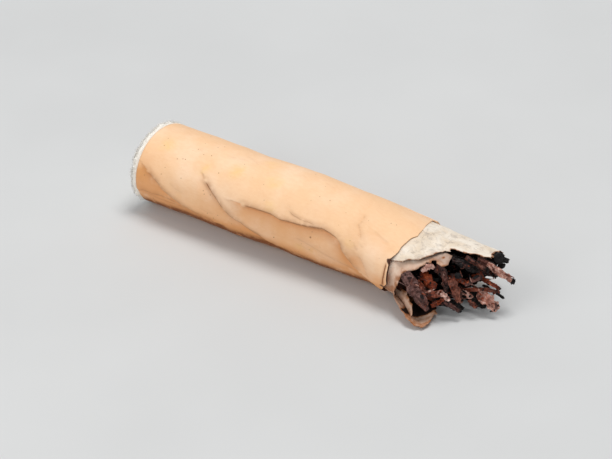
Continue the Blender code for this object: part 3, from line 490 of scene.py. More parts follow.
class Sockets:
    """Short hand for one material's node tree."""

    def __init__(self, name: str) -> None:
        """Starts a material with its Principled shader.

        Args:
            name: Name of the material.
        """
        self.material = bpy.data.materials.new(name)
        self.material.use_nodes = True
        self.tree = self.material.node_tree
        self.shader = self.tree.nodes["Principled BSDF"]
        self.place = self.tree.nodes.new("ShaderNodeTexCoord").outputs["Object"]

    def link(self, source: bpy.types.NodeSocket, target: bpy.types.NodeSocket) -> None:
        """Joins two sockets."""
        self.tree.links.new(source, target)

    def feed(self, target: bpy.types.NodeSocket, value: object) -> None:
        """Links a socket or sets a constant, whichever the value is."""
        if isinstance(value, bpy.types.NodeSocket):
            self.link(value, target)
        elif isinstance(value, tuple) and len(value) == 3:
            target.default_value = (*value, 1.0)
        else:
            target.default_value = value

    def attribute(self, name: str) -> bpy.types.NodeSocket:
        """A number painted on the mesh's points."""
        node = self.tree.nodes.new("ShaderNodeAttribute")
        node.attribute_name = name
        return node.outputs["Fac"]

    def stretched(self, scale: tuple[float, float, float], turn: float = 0.0) -> bpy.types.NodeSocket:
        """Object coordinates, stretched to draw a pattern out along an axis."""
        node = self.tree.nodes.new("ShaderNodeMapping")
        node.inputs["Scale"].default_value = scale
        node.inputs["Rotation"].default_value = (0.0, 0.0, turn)
        self.link(self.place, node.inputs["Vector"])
        return node.outputs["Vector"]

    def grain(self, scale: tuple[float, float]) -> bpy.types.NodeSocket:
        """Painted coordinates that run along and across a strip, drawn out by that scale."""
        node = self.tree.nodes.new("ShaderNodeCombineXYZ")
        self.link(self.calc("MULTIPLY", self.attribute("lengthwise"), scale[0]), node.inputs["X"])
        self.link(self.calc("MULTIPLY", self.attribute("crosswise"), scale[1]), node.inputs["Y"])
        return node.outputs["Vector"]

    def noise(
        self,
        size: float,
        detail: float = 3.0,
        roughness: float = 0.55,
        where: bpy.types.NodeSocket | None = None,
        warp: float = 0.0,
    ) -> bpy.types.NodeSocket:
        """Noise whose lumps have about that size in metres."""
        node = self.tree.nodes.new("ShaderNodeTexNoise")
        node.inputs["Scale"].default_value = 1.0 / size
        node.inputs["Detail"].default_value = detail
        node.inputs["Roughness"].default_value = roughness
        node.inputs["Distortion"].default_value = warp
        self.link(where or self.place, node.inputs["Vector"])
        return node.outputs["Fac"]

    def cells(self, size: float, where: bpy.types.NodeSocket | None = None) -> bpy.types.NodeSocket:
        """Distance to scattered points, for specks."""
        node = self.tree.nodes.new("ShaderNodeTexVoronoi")
        node.inputs["Scale"].default_value = 1.0 / size
        self.link(where or self.place, node.inputs["Vector"])
        return node.outputs["Distance"]

    def spots(
        self, flat: bpy.types.NodeSocket, places: tuple[tuple[float, float, float], ...], radius: float
    ) -> bpy.types.NodeSocket:
        """Round marks on a rolled paper.

        Args:
            flat: Coordinates in the unrolled paper.
            places: The marks, as (mm along, degrees round, reach in mm).
            radius: Radius of the roll.

        Returns:
            1 in the middle of a mark, falling to 0 at its rim.
        """
        total: object = 0.0
        for along, turn, reach in places:
            away = self.tree.nodes.new("ShaderNodeVectorMath")
            away.operation = "DISTANCE"
            self.link(flat, away.inputs[0])
            away.inputs[1].default_value = (along * MM, math.radians(turn) * radius, 0.0)
            total = self.calc("MAXIMUM", total, self.span(away.outputs["Value"], reach * MM, 0.0))
        return total

    def span(self, value: object, low: float, high: float) -> bpy.types.NodeSocket:
        """The value's place between low and high, from 0 to 1 and smooth. Low may be the larger."""
        node = self.tree.nodes.new("ShaderNodeMapRange")
        node.interpolation_type = "SMOOTHSTEP"
        flip = low > high
        node.inputs["From Min"].default_value = min(low, high)
        node.inputs["From Max"].default_value = max(low, high)
        node.inputs["To Min"].default_value = 1.0 if flip else 0.0
        node.inputs["To Max"].default_value = 0.0 if flip else 1.0
        self.feed(node.inputs["Value"], value)
        return node.outputs["Result"]

    def calc(self, way: str, first: object, second: object = 0.0) -> bpy.types.NodeSocket:
        """A Math node: first and second combined in that way."""
        node = self.tree.nodes.new("ShaderNodeMath")
        node.operation = way
        self.feed(node.inputs[0], first)
        self.feed(node.inputs[1], second)
        return node.outputs[0]

    def mix(self, share: object, first: object, second: object, way: str = "MIX") -> bpy.types.NodeSocket:
        """A colour between two, by a share from 0 to 1."""
        node = self.tree.nodes.new("ShaderNodeMix")
        node.data_type = "RGBA"
        node.blend_type = way
        self.feed(node.inputs["Factor"], share)
        self.feed(node.inputs[6], first)
        self.feed(node.inputs[7], second)
        return node.outputs[2]

    def bump(self, height: object, depth: float, strength: float = 1.0) -> bpy.types.NodeSocket:
        """A Bump node for a height from 0 to 1 that stands for that depth in metres."""
        node = self.tree.nodes.new("ShaderNodeBump")
        node.inputs["Strength"].default_value = strength
        node.inputs["Distance"].default_value = depth
        self.feed(node.inputs["Height"], height)
        return node.outputs["Normal"]

    def finish(self, base: object, roughness: object, normal: object, **constants: float) -> bpy.types.Material:
        """Feeds the shader.

        Args:
            base: Base colour, as a socket or a colour.
            roughness: Roughness, as a socket or a number.
            normal: Normal socket.
            constants: Other shader inputs set to plain numbers, with _ for a space.

        Returns:
            The finished material.
        """
        self.feed(self.shader.inputs["Base Color"], base)
        self.feed(self.shader.inputs["Roughness"], roughness)
        self.link(normal, self.shader.inputs["Normal"])
        for name, value in constants.items():
            self.shader.inputs[name.replace("_", " ")].default_value = value
        return self.material


@dataclass(frozen=True)
class TippingFinish:
    """Tan outer paper with soft yellow blotches, small specks, dark fold lines that are partly soiling and partly
    painted shade, and painted shade on its low side and in its hollows.

    Attributes:
        specks: Dark specks, as (mm along, degrees round, reach in mm).
        blotches: Yellow stains, in the same measure.
        radius: Radius of the wrap as made.
    """

    tan: Colour = srgb(249, 205, 162)
    pale: Colour = srgb(253, 217, 182)
    yellow: Colour = srgb(248, 204, 138)
    # Deep tan: a little of it in the fibre grain, mostly painted shade on the low side, the end facet and the hollows.
    deep: Colour = srgb(222, 148, 80)
    # Colour of the specks and of the fold lines, which are partly soiling and partly painted shade.
    grime_and_shade: Colour = srgb(142, 82, 38)
    # Colour of the scorched cut edge, and of the painted shadow along the underside.
    scorch_and_shade: Colour = srgb(66, 31, 13)
    speck: Colour = srgb(140, 92, 58)
    specks: tuple[tuple[float, float, float], ...] = (
        (19.0, 170, 0.17), (2.5, 170, 0.13), (8.3, 162, 0.08), (3.8, 130, 0.09), (4.6, 127, 0.09), (6.0, 112, 0.08),
        (6.8, 110, 0.1), (5.1, 107, 0.08), (4.5, 70, 0.1), (7.0, 86, 0.07), (8.5, 130, 0.09), (3.0, 146, 0.07),
        (2.8, 156, 0.08), (18.5, 113, 0.07), (19.5, 112, 0.08), (15.2, 193, 0.12), (21.4, 118, 0.06),
    )  # fmt: skip
    blotches: tuple[tuple[float, float, float], ...] = (
        (2.1, 117, 1.2), (7.0, 132, 1.1), (10.2, 120, 1.3), (4.9, 174, 1.0), (13.9, 114, 1.3), (12.3, 91, 1.2),
        (17.9, 192, 0.9), (0.7, 166, 1.1), (14.6, 150, 0.9), (19.3, 190, 0.7), (24.0, 196, 0.8), (22.9, 152, 0.7),
    )  # fmt: skip
    radius: float = 0.0039

    def material(self) -> bpy.types.Material:
        """Builds the node tree."""
        made = Sockets("tipping_paper_finish")
        flat = made.grain((1.0, 1.0))
        cloudy = made.noise(0.0042, 3.0, 0.5)
        colour = made.mix(made.span(cloudy, 0.4, 0.66), self.tan, self.pale)
        blotch = made.span(made.noise(0.0018, 4.0, 0.6, warp=0.6), 0.3, 0.7)
        yellowed = made.calc("ADD", made.spots(flat, self.blotches, self.radius), 0.12)
        yellowed = made.calc("MULTIPLY", yellowed, 0.7)
        colour = made.mix(made.calc("MULTIPLY", blotch, yellowed), colour, self.yellow)
        fibre = made.noise(0.00022, 4.0, 0.7, where=made.stretched((0.45, 1.0, 1.0)))
        colour = made.mix(made.span(fibre, 0.3, 0.75), colour, made.mix(0.14, colour, self.deep))
        # Painted shade in deep tan: the low near side, the end facet, the hollows and beside the folds.
        painted_shade = made.calc("MULTIPLY", made.attribute("painted_shade"), made.span(made.noise(0.0013, 3.0), 0.0, 0.5))
        colour = made.mix(made.calc("MULTIPLY", painted_shade, 0.78), colour, self.deep)
        dots = made.span(made.cells(0.00062), 0.11, 0.06)
        few = made.span(made.noise(0.0016, 2.0), 0.48, 0.58)
        colour = made.mix(made.calc("MULTIPLY", made.calc("MULTIPLY", dots, few), 0.6), colour, self.speck)
        marked = made.span(made.spots(flat, self.specks, self.radius), 0.25, 0.6)
        colour = made.mix(made.calc("MULTIPLY", marked, 0.7), colour, self.grime_and_shade)
        # Fold lines, partly soiling and partly painted shade.
        dirt_and_shade = made.attribute("grime_and_shade")
        grime_and_shade = made.calc("MULTIPLY", dirt_and_shade, made.span(made.noise(0.0006), 0.12, 0.55))
        colour = made.mix(grime_and_shade, colour, self.grime_and_shade)
        # Scorching at the cut edge; where the fold mark passes 1, the painted shadow along the underside, in the same
        # dark colour.
        burn = made.calc("ADD", made.attribute("scorch_and_shade"), made.span(dirt_and_shade, 1.0, 1.5))
        ragged = made.calc("ADD", burn, made.calc("MULTIPLY", made.calc("SUBTRACT", fibre, 0.5), 0.7))
        colour = made.mix(made.span(ragged, 0.35, 0.85), colour, self.scorch_and_shade)
        rough = made.calc("ADD", made.calc("MULTIPLY", made.span(cloudy, -0.4, 1.4), 0.12), 0.5)
        height = made.calc("ADD", fibre, made.calc("MULTIPLY", made.noise(0.0009, 2.0), 1.4))
        return made.finish(colour, rough, made.bump(height, 0.000022, 0.7), Specular_IOR_Level=0.3)


@dataclass(frozen=True)
class CigarettePaperFinish:
    """Thin white paper, greyed by ash, stained tan by tar and scorched at its tear; its darkest colour also paints
    shade inside the roof and along the lap's edge.
    """

    white: Colour = srgb(244, 232, 216)
    cream: Colour = srgb(231, 212, 188)
    ash: Colour = srgb(160, 146, 136)
    tar: Colour = srgb(216, 182, 158)
    deep_tar: Colour = srgb(166, 108, 70)
    speck: Colour = srgb(104, 74, 56)
    # Colour of the scorched tear, and of the painted shade inside the roof and along the lap's edge.
    scorch_and_shade: Colour = srgb(28, 15, 10)

    def material(self) -> bpy.types.Material:
        """Builds the node tree."""
        made = Sockets("cigarette_paper_finish")
        cloudy = made.noise(0.0016, 4.0, 0.6, warp=0.4)
        colour = made.mix(made.span(cloudy, 0.35, 0.68), self.white, self.cream)
        marks = made.span(made.noise(0.0008, 5.0, 0.68, warp=0.9), 0.48, 0.74)
        ash = made.attribute("ash")
        grey = made.calc("MULTIPLY", made.calc("MULTIPLY", marks, 0.62), ash)
        colour = made.mix(grey, colour, self.ash)
        verge = made.span(made.noise(0.0003, 5.0, 0.72, warp=1.2), 0.57, 0.7)
        dots = made.calc("MULTIPLY", verge, made.calc("MULTIPLY", made.attribute("ash"), 0.4))
        colour = made.mix(dots, colour, self.speck)
        fine = made.calc("MULTIPLY", made.calc("SUBTRACT", made.noise(0.0005, 4.0), 0.5), 1.1)
        tar = made.attribute("tar")
        tar = made.calc("ADD", tar, made.calc("MULTIPLY", fine, made.span(tar, 0.0, 0.3)))
        colour = made.mix(made.span(tar, 0.1, 0.8), colour, self.tar)
        colour = made.mix(made.span(tar, 0.8, 1.3), colour, self.deep_tar)
        colour = made.mix(made.calc("MULTIPLY", made.span(ash, 1.15, 1.6), 0.5), colour, self.ash)
        # Scorching at the tear, and painted shade: the black underside of the roof, the black back of the inner layer,
        # the darker band deep inside and the dark line along the lap's edge.
        burn = made.attribute("scorch_and_shade")
        burn = made.calc("ADD", burn, made.calc("MULTIPLY", fine, made.span(burn, 0.0, 0.35)))
        colour = made.mix(made.span(burn, 0.12, 0.5), colour, self.deep_tar)
        colour = made.mix(made.span(burn, 0.42, 0.85), colour, self.scorch_and_shade)
        fibre = made.noise(0.00014, 4.0, 0.7)
        height = made.calc("ADD", fibre, made.calc("MULTIPLY", cloudy, 2.0))
        return made.finish(colour, 0.72, made.bump(height, 0.000022, 0.7), Specular_IOR_Level=0.25)


@dataclass(frozen=True)
class TowFinish:
    """White crimped fibres with a faint tan tinge of smoke towards the middle."""

    name: str = "filter_tow_finish"
    white: Colour = srgb(255, 249, 238)
    smoke: Colour = srgb(222, 202, 160)
    shadow: Colour = srgb(190, 178, 160)

    def material(self) -> bpy.types.Material:
        """Builds the node tree."""
        made = Sockets(self.name)
        stained = made.calc("MULTIPLY", made.attribute("smoke"), made.span(made.noise(0.0011, 3.0), 0.25, 0.75))
        colour = made.mix(stained, self.white, self.smoke)
        fibre = made.noise(0.00009, 4.0, 0.75, warp=1.5)
        colour = made.mix(made.span(fibre, 0.6, 0.3), colour, made.mix(0.2, colour, self.shadow))
        return made.finish(colour, 0.85, made.bump(fibre, 0.00005, 0.8), Sheen_Weight=0.25, Sheen_Roughness=0.5)


@dataclass(frozen=True)
class PlugWrapFinish:
    """Thin white paper between the fibres and the outer wrap."""

    white: Colour = srgb(230, 226, 214)
    worn: Colour = srgb(206, 190, 160)

    def material(self) -> bpy.types.Material:
        """Builds the node tree."""
        made = Sockets("plug_wrap_finish")
        fibre = made.noise(0.00018, 4.0, 0.7)
        colour = made.mix(made.span(made.noise(0.0012), 0.4, 0.7), self.white, self.worn)
        return made.finish(colour, 0.75, made.bump(fibre, 0.00001, 0.5), Specular_IOR_Level=0.3)


class Leaf(Enum):
    """Tones of the cut leaf, named as the record's slots are."""

    DARK = "leaf_dark"
    BROWN = "leaf_brown"
    RUST = "leaf_rust"
    PINK = "leaf_pink"
    PACKED = "packed_tobacco"
    CHAR = "char"


@dataclass(frozen=True)
class LeafFinish:
    """Dried leaf: lengthwise veins, lighter worn ridges, warm patches, charred places and painted shade deep in the
    mouth.

    Attributes:
        tone: Which leaf it is.
        body: Colour of the blade.
        light: Colour of its worn ridges and fibres.
        deep: Colour between its veins.
        burnt: Colour where it is charred, and of the painted shade deep in the mouth.
        glow: Colour of its warm patches.
        light_share: How much of it is light, from 0 to 1.
        burnt_share: How much of it is charred, from 0 to 1.
        glow_share: How strong the warm patches are, from 0 to 1.
        roughness: Its mean roughness.
    """

    tone: Leaf
    body: Colour
    light: Colour
    deep: Colour = srgb(40, 24, 24)
    burnt: Colour = srgb(15, 8, 6)
    glow: Colour = srgb(158, 66, 28)
    light_share: float = 0.5
    burnt_share: float = 0.5
    glow_share: float = 0.2
    roughness: float = 0.5

    def material(self) -> bpy.types.Material:
        """Builds the node tree."""
        made = Sockets(f"{self.tone.value}_finish")
        patches = made.noise(0.00045, 5.0, 0.62, warp=0.8)
        grain = made.grain((0.28, 1.0))
        veins = made.noise(0.00022, 5.0, 0.7, where=grain, warp=0.4)
        low = 0.6 - 0.2 * self.light_share
        both = made.calc("ADD", made.calc("MULTIPLY", veins, 0.62), made.calc("MULTIPLY", patches, 0.38))
        colour = made.mix(made.span(both, low - 0.14, low), self.deep, self.body)
        colour = made.mix(made.span(both, low, low + 0.13), colour, self.light)
        warm = made.span(made.noise(0.0007, 3.0, 0.6), 0.48, 0.66)
        colour = made.mix(made.calc("MULTIPLY", warm, self.glow_share), colour, self.glow)
        colour = made.mix(made.calc("MULTIPLY", made.attribute("worn"), made.span(both, 0.4, 0.58)), colour, self.light)
        ember = made.calc("MULTIPLY", made.attribute("glow"), made.span(patches, 0.42, 0.58))
        colour = made.mix(ember, colour, self.glow)
        burning = made.noise(0.0009, 4.0, 0.7, warp=0.5)
        high = 0.8 - 0.42 * self.burnt_share
        colour = made.mix(made.span(burning, high, high + 0.1), colour, self.burnt)
        # Charred tips and rims, and painted shade deep in the mouth, in the same near-black.
        tip = made.calc("ADD", made.attribute("burnt"), made.calc("MULTIPLY", made.calc("SUBTRACT", patches, 0.5), 0.7))
        colour = made.mix(made.span(tip, 0.35, 0.75), colour, self.burnt)
        rough = made.calc("ADD", made.calc("MULTIPLY", made.span(patches, 0.3, 0.8), 0.3), self.roughness - 0.15)
        height = made.calc("ADD", veins, made.calc("MULTIPLY", patches, 1.2))
        return made.finish(colour, rough, made.bump(height, 0.00007, 0.9), Specular_IOR_Level=0.26)


@dataclass(frozen=True)
class CharFinish:
    """Burnt-out leaf: black, a little grey ash on its knobs."""

    black: Colour = srgb(18, 13, 13)
    ash: Colour = srgb(88, 76, 74)

    def material(self) -> bpy.types.Material:
        """Builds the node tree."""
        made = Sockets("char_finish")
        grain = made.noise(0.00016, 5.0, 0.7, warp=0.6)
        colour = made.mix(made.span(grain, 0.6, 0.8), self.black, self.ash)
        return made.finish(colour, 0.75, made.bump(grain, 0.00008, 1.0), Specular_IOR_Level=0.35)


@dataclass(frozen=True)
class StripLook:
    """How one strip differs from the rest of its tone: charred, glowing warm, worn light or charred at its rims; hidden
    strips are darkened with painted shade.
    """

    burnt: float = 0.0
    glow: float = 0.0
    worn: float = 0.0
    rim: float = 0.42


# Strips that don't show are darkened through: painted shade inside the butt.
HIDDEN_LOOK = StripLook(burnt=0.75)
STRIP_LOOKS: dict[str, StripLook] = {
    "leaf_wide_front": StripLook(0.0, 0.0, 0.1),
    "leaf_inner_front": StripLook(0.35, 0.3),
    "leaf_curl_front": StripLook(-0.1, 0.3, 0.6, 0.2),
    "leaf_centre": StripLook(0.05, 0.15, 0.2),
    "leaf_rust_bar": StripLook(0.15, 0.8),
    "leaf_arch": StripLook(0.3),
    "leaf_centre_rust": StripLook(0.0, 0.8, 0.1),
    "leaf_cluster": StripLook(0.15, 0.5, 0.1),
    "leaf_low_front": StripLook(0.15, 0.5, 0.1),
    "chip_front": StripLook(-0.1, 0.1, 0.5, 0.2),
    "chip_low": StripLook(0.2, 0.3),
    "thread_low": StripLook(0.3),
    "leaf_centre_chip": StripLook(-0.1, 0.3, 0.5, 0.2),
    "leaf_roof_1": StripLook(0.66),
    "leaf_roof_2": StripLook(0.45, 0.15),
    "leaf_roof_3": StripLook(0.45, 0.1),
    "tobacco_plug": StripLook(0.1, 0.3, 0.2),
    "stem_long": StripLook(0.05, 0.2, 0.15, 0.3),
    "flake_right": StripLook(-0.2, 0.75, 0.7, 0.15),
    "leaf_bundle_1": StripLook(0.75),
    "leaf_bundle_2": StripLook(0.3, 0.1),
    "leaf_bundle_3": StripLook(0.2, 0.6),
    "leaf_bundle_4": StripLook(0.55),
    "leaf_bundle_5": StripLook(0.5, 0.2),
    "leaf_strand": StripLook(0.25, 0.4, 0.1),
}
LEAF_FINISHES: dict[Leaf, LeafFinish] = {
    Leaf.DARK: LeafFinish(Leaf.DARK, srgb(92, 60, 54), srgb(148, 110, 102), burnt_share=0.55, glow_share=0.14),
    Leaf.BROWN: LeafFinish(Leaf.BROWN, srgb(98, 54, 42), srgb(160, 108, 90), glow_share=0.35, burnt_share=0.58),
    Leaf.RUST: LeafFinish(Leaf.RUST, srgb(116, 46, 24), srgb(186, 106, 72), glow_share=0.5, burnt_share=0.55),
    Leaf.PINK: LeafFinish(Leaf.PINK, srgb(166, 114, 98), srgb(234, 202, 188), light_share=0.6, burnt_share=0.12),
    # The packed plug's dark, mostly black finish is char and painted shade deep in the mouth.
    Leaf.PACKED: LeafFinish(Leaf.PACKED, srgb(40, 24, 18), srgb(80, 46, 32), burnt_share=0.75, roughness=0.7),
}


@dataclass
class MeshMaker:
    """Turns arrays into smooth pieces that ride on the butt."""

    made: list[bpy.types.Object] = field(default_factory=list)

    def piece(
        self,
        name: str,
        points: Array,
        faces: list[tuple[int, ...]] | Array,
        material: bpy.types.Material,
        slot: str,
        stands_for: tuple[str, ...] = (),
        paint: dict[str, Array] | None = None,
    ) -> bpy.types.Object:
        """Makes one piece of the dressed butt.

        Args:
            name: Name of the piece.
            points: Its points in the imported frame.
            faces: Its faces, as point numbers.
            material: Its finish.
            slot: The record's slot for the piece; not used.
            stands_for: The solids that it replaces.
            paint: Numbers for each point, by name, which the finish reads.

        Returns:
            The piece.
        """
        mesh = bpy.data.meshes.new(name)
        mesh.from_pydata([tuple(point) for point in points], [], [tuple(face) for face in faces])
        mesh.validate()
        shape = bmesh.new()
        shape.from_mesh(mesh)
        bmesh.ops.recalc_face_normals(shape, faces=shape.faces)
        shape.to_mesh(mesh)
        shape.free()
        mesh.shade_smooth()
        for label, values in (paint or {}).items():
            layer = mesh.attributes.new(label, "FLOAT", "POINT")
            layer.data.foreach_set("value", np.asarray(values, dtype=np.float32))
        mesh.materials.append(material)
        thing = bpy.data.objects.new(name, mesh)
        bpy.context.scene.collection.objects.link(thing)
        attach(thing, BODY)
        if stands_for:
            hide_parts(*stands_for)
        self.made.append(thing)
        LOG.info("%s: %d points, %d faces", name, len(mesh.vertices), len(mesh.polygons))
        return thing


def sheet_faces(rows: int, columns: int) -> list[tuple[int, int, int, int]]:
    """Faces of a closed thin sheet of outer points, then as many inner points.

    Args:
        rows: Points along the sheet.
        columns: Points round it.

    Returns:
        The faces of both sides and of the four rims.
    """
    size = rows * columns
    faces = []
    for row in range(rows - 1):
        for column in range(columns - 1):
            first = row * columns + column
            quad = (first, first + 1, first + columns + 1, first + columns)
            faces.append(quad)
            faces.append(tuple(corner + size for corner in reversed(quad)))
    for row in range(rows - 1):
        for column in (0, columns - 1):
            start, end = row * columns + column, (row + 1) * columns + column
            faces.append((start, end, end + size, start + size))
    for column in range(columns - 1):
        for row in (0, rows - 1):
            start = row * columns + column
            faces.append((start, start + 1, start + 1 + size, start + size))
    return faces


@dataclass
class TippingPaper:
    """The tan outer wrap, with a lap down its far side and an unstuck lip at the torn end."""

    crush: CrushMap
    relief: WrapRelief = field(default_factory=WrapRelief)
    finish: TippingFinish = field(default_factory=TippingFinish)
    length: float = 0.0273
    wall: float = 0.00008
    lap: float = 0.0017
    lap_gap: float = 0.00003
    lap_slope: float = math.radians(14)
    first_turn: float = math.radians(8)
    lip_back: float = 0.0006
    lip_turn: float = math.radians(169)
    lip_reach: float = math.radians(19)
    lip_lift: float = 0.00034
    creased_side: tuple[float, float] = (math.radians(95), math.radians(215))
    edge_share: float = 0.97
    rows: tuple[int, int] = (184, 16)
    columns: tuple[int, int, int] = (40, 130, 50)
    edge: PlanLine = (
        (-0.3, 0), (-0.35, 45), (0.25, 82), (0.45, 99), (0.2, 106), (0.0, 119), (-0.05, 131), (-0.3, 146),
        (-0.15, 156), (0.0, 168), (0.0, 182), (-0.5, 196), (-1.1, 210), (-1.4, 222), (-1.2, 250),
        (-0.7, 290), (-0.3, 330), (-0.3, 360),
    )  # fmt: skip

    def cut_edge(self, angle: Array) -> Array:
        """Length of the wrap at each turn, with the fine waver of a worn cut."""
        offsets, turns = np.array(self.edge).T
        base = np.interp(np.degrees(np.mod(angle, math.tau)), turns, offsets) * MM
        round_it = np.stack([np.cos(angle), np.sin(angle)], axis=-1) * self.crush.radius
        return self.length + base + 0.00002 * Waves(3, 0.0011).heights(round_it)

    def turns(self) -> Array:
        """Turns of the columns, closer together over the creased side."""
        last = self.first_turn + math.tau + self.lap / self.crush.radius
        stops = (self.first_turn, *self.creased_side, last)
        runs = [np.linspace(*run, count, endpoint=False) for *run, count in zip(stops[:-1], stops[1:], self.columns)]
        return np.append(np.concatenate(runs), last)

    def shares(self) -> Array:
        """Shares of the length of the rows, closer together at the torn end."""
        body, end = self.rows
        return np.append(np.linspace(0.0, self.edge_share, body, endpoint=False), np.linspace(self.edge_share, 1.0, end))

    def paint(self, along: Array, angle: Array, grime_and_shade: Array, fold_shade: Array) -> dict[str, Array]:
        """Marks for each point of the wrap: soiling, scorching and painted shade.

        Args:
            along: Distance along the butt.
            angle: Turn round it.
            grime_and_shade: Darkening in the folds, partly soiling and partly painted shade.
            fold_shade: Painted shade beside them.

        Returns:
            The strength of each mark, by name.
        """
        turned = np.degrees(np.mod(angle, math.tau))
        # Painted shade: darker on the low near side and its underside, at the mouth end, on the end facet and in the
        # hollows by the folds, with the shade beside the folds added in.
        low = smooth_rise(turned, 148.0, 46.0) * (1.0 - smooth_rise(turned, 250.0, 40.0))
        mouth_end = 0.45 * bell(along, 0.0, 0.0024) * smooth_rise(turned, 118.0, 40.0)
        facet = 0.5 * (1.0 - smooth_rise(along, 0.0012, 0.0014)) * smooth_rise(turned, 152.0, 14.0)
        hollow = 0.55 * bell(along, 0.0234, 0.0009) * bell(turned, 178.0, 14.0)
        low_side_shade = 0.34 * low * (0.72 + 0.28 * bell(along, 0.0, 0.01))
        low_side_shade = low_side_shade + 0.75 * smooth_rise(turned, 190.0, 22.0) * (1.0 - smooth_rise(turned, 222.0, 60.0))
        hollow = hollow + 0.55 * smooth_rise(along, 0.0243, 0.0022) * smooth_rise(turned, 168.0, 22.0)
        hollow = hollow + 0.6 * bell(along, 0.0065, 0.0028) * bell(turned, 206.0, 12.0)
        painted_shade = np.clip(low_side_shade + fold_shade + mouth_end + facet + hollow, 0.0, 1.0)
        # Painted shadow along the underside next to the ground, strong enough that the finish turns it to the scorched
        # colour.
        grime_and_shade = np.maximum(grime_and_shade, 1.2 * smooth_rise(turned, 202.0, 18.0) * bell(turned, 222.0, 18.0))
        to_edge = self.cut_edge(angle) - along
        corner = bell(to_edge, 0.00016, 0.00024) * bell(turned, 148.5, 3.6)
        rim = bell(to_edge, 0.0, 0.00011) * bell(turned, 170.0, 24.0)
        hem = bell(to_edge, 0.0003, 0.0003) * bell(turned, 194.0, 4.0)
        tarred = 0.45 * bell(to_edge, 0.0, 0.00006)
        scorch_and_shade = np.clip(1.15 * corner + 1.1 * rim + 0.8 * hem + tarred, 0.0, 1.1)
        marks = {"grime_and_shade": grime_and_shade, "painted_shade": painted_shade, "scorch_and_shade": scorch_and_shade}
        return {**marks, "lengthwise": along, "crosswise": angle * self.crush.radius}

    def build(self, maker: MeshMaker) -> bpy.types.Object:
        """Builds the wrap and dresses it."""
        turns, shares = self.turns(), self.shares()
        along = shares[:, None] * self.cut_edge(turns)[None, :]
        angle = np.broadcast_to(turns, along.shape)
        along, angle = along.ravel(), angle.ravel()
        radius = self.crush.radius
        relief, grime_and_shade, fold_shade = self.relief.press(along, angle, radius)
        places = np.stack([along, np.cos(angle) * radius, np.sin(angle) * radius], axis=-1)
        relief = relief + 0.000022 * Waves(21, 0.0061).heights(places) + 0.000008 * Waves(22, 0.0017).heights(places)
        to_edge = self.cut_edge(angle) - along
        lip = (1.0 - smooth_rise(to_edge, 0.0, self.lip_back)) * bell(np.mod(angle, math.tau), self.lip_turn, self.lip_reach)
        relief = relief + self.lip_lift * lip
        rise = (self.wall + self.lap_gap) * smooth_rise(angle, self.first_turn + math.tau - self.lap_slope, self.lap_slope)
        outer = self.crush.place(along, angle, radius + rise, relief)
        inner = self.crush.place(along, angle, radius + rise - self.wall, relief)
        paint = {label: np.tile(values, 2) for label, values in self.paint(along, angle, grime_and_shade, fold_shade).items()}
        points = np.concatenate([outer, inner])
        faces = sheet_faces(len(shares), len(turns))
        return maker.piece(
            "tipping_wrap", points, faces, self.finish.material(), "tipping_paper", ("tipping_paper",), paint
        )


def inside(points: Array, outline: Array) -> Array:
    """Which points lie inside a closed outline, by counting crossings."""
    crossings = np.zeros(len(points), dtype=int)
    for start, end in zip(outline, np.roll(outline, -1, axis=0)):
        if start[1] == end[1]:
            continue
        spans = (start[1] > points[:, 1]) != (end[1] > points[:, 1])
        slope = (end[0] - start[0]) / (end[1] - start[1])
        crossings += spans & (points[:, 0] < start[0] + slope * (points[:, 1] - start[1]))
    return crossings % 2 == 1


def divided(corners: Array, spacing: float) -> Array:
    """A line's corners, with points between them no further apart than the spacing."""
    points = []
    for start, end in zip(corners[:-1], corners[1:]):
        count = max(1, math.ceil(math.dist(start, end) / spacing))
        points.extend(start + (end - start) * step / count for step in range(count))
    return np.array([*points, corners[-1]])


@dataclass(frozen=True)
class FlatSheet:
    """A paper cut flat: its points as (along, arc), its triangles and the edges of its rim."""

    points: Array
    faces: list[tuple[int, ...]]
    rim: list[tuple[int, int]]

    @staticmethod
    def cut(rim: Array, spacing: float) -> "FlatSheet":
        """Cuts a sheet inside a rim.

        Args:
            rim: The closed rim's points, in order.
            spacing: Distance between the points inside it.

        Returns:
            The sheet, in even triangles.
        """
        low, high = rim.min(axis=0), rim.max(axis=0)
        grid = []
        for step, along in enumerate(np.arange(low[0], high[0], spacing * math.sqrt(0.75))):
            start = low[1] + spacing / 2 * (step % 2)
            grid += [(along, arc) for arc in np.arange(start, high[1], spacing)]
        grid = np.array(grid)
        grid = grid[inside(grid, rim)]
        near = KDTree(len(rim))
        for number, point in enumerate(rim):
            near.insert((*point, 0.0), number)
        near.balance()
        clear = [near.find((*point, 0.0))[2] > 0.6 * spacing for point in grid]
        placed = np.concatenate([rim, grid[clear]])
        edges = [(number, (number + 1) % len(rim)) for number in range(len(rim))]
        found = delaunay_2d_cdt([Vector(point) / MM for point in placed], edges, [], 0, 1e-6)
        flat = np.array([tuple(vertex) for vertex in found[0]]) * MM
        faces = np.array(found[2])
        faces = faces[inside(flat[faces].mean(axis=1), rim)]
        ends = np.concatenate([faces[:, [0, 1]], faces[:, [1, 2]], faces[:, [2, 0]]])
        once: dict[tuple[int, int], bool] = {}
        for start, end in ends.tolist():
            if once.pop((end, start), None) is None:
                once[(start, end)] = True
        return FlatSheet(flat, [tuple(face) for face in faces.tolist()], list(once))

    def closed_faces(self) -> list[tuple[int, ...]]:
        """Faces of a thin wall: the sheet, its back and the wall along its rim."""
        count = len(self.points)
        back = [tuple(corner + count for corner in reversed(face)) for face in self.faces]
        walls = [(end, start, start + count, end + count) for start, end in self.rim]
        return [*self.faces, *back, *walls]


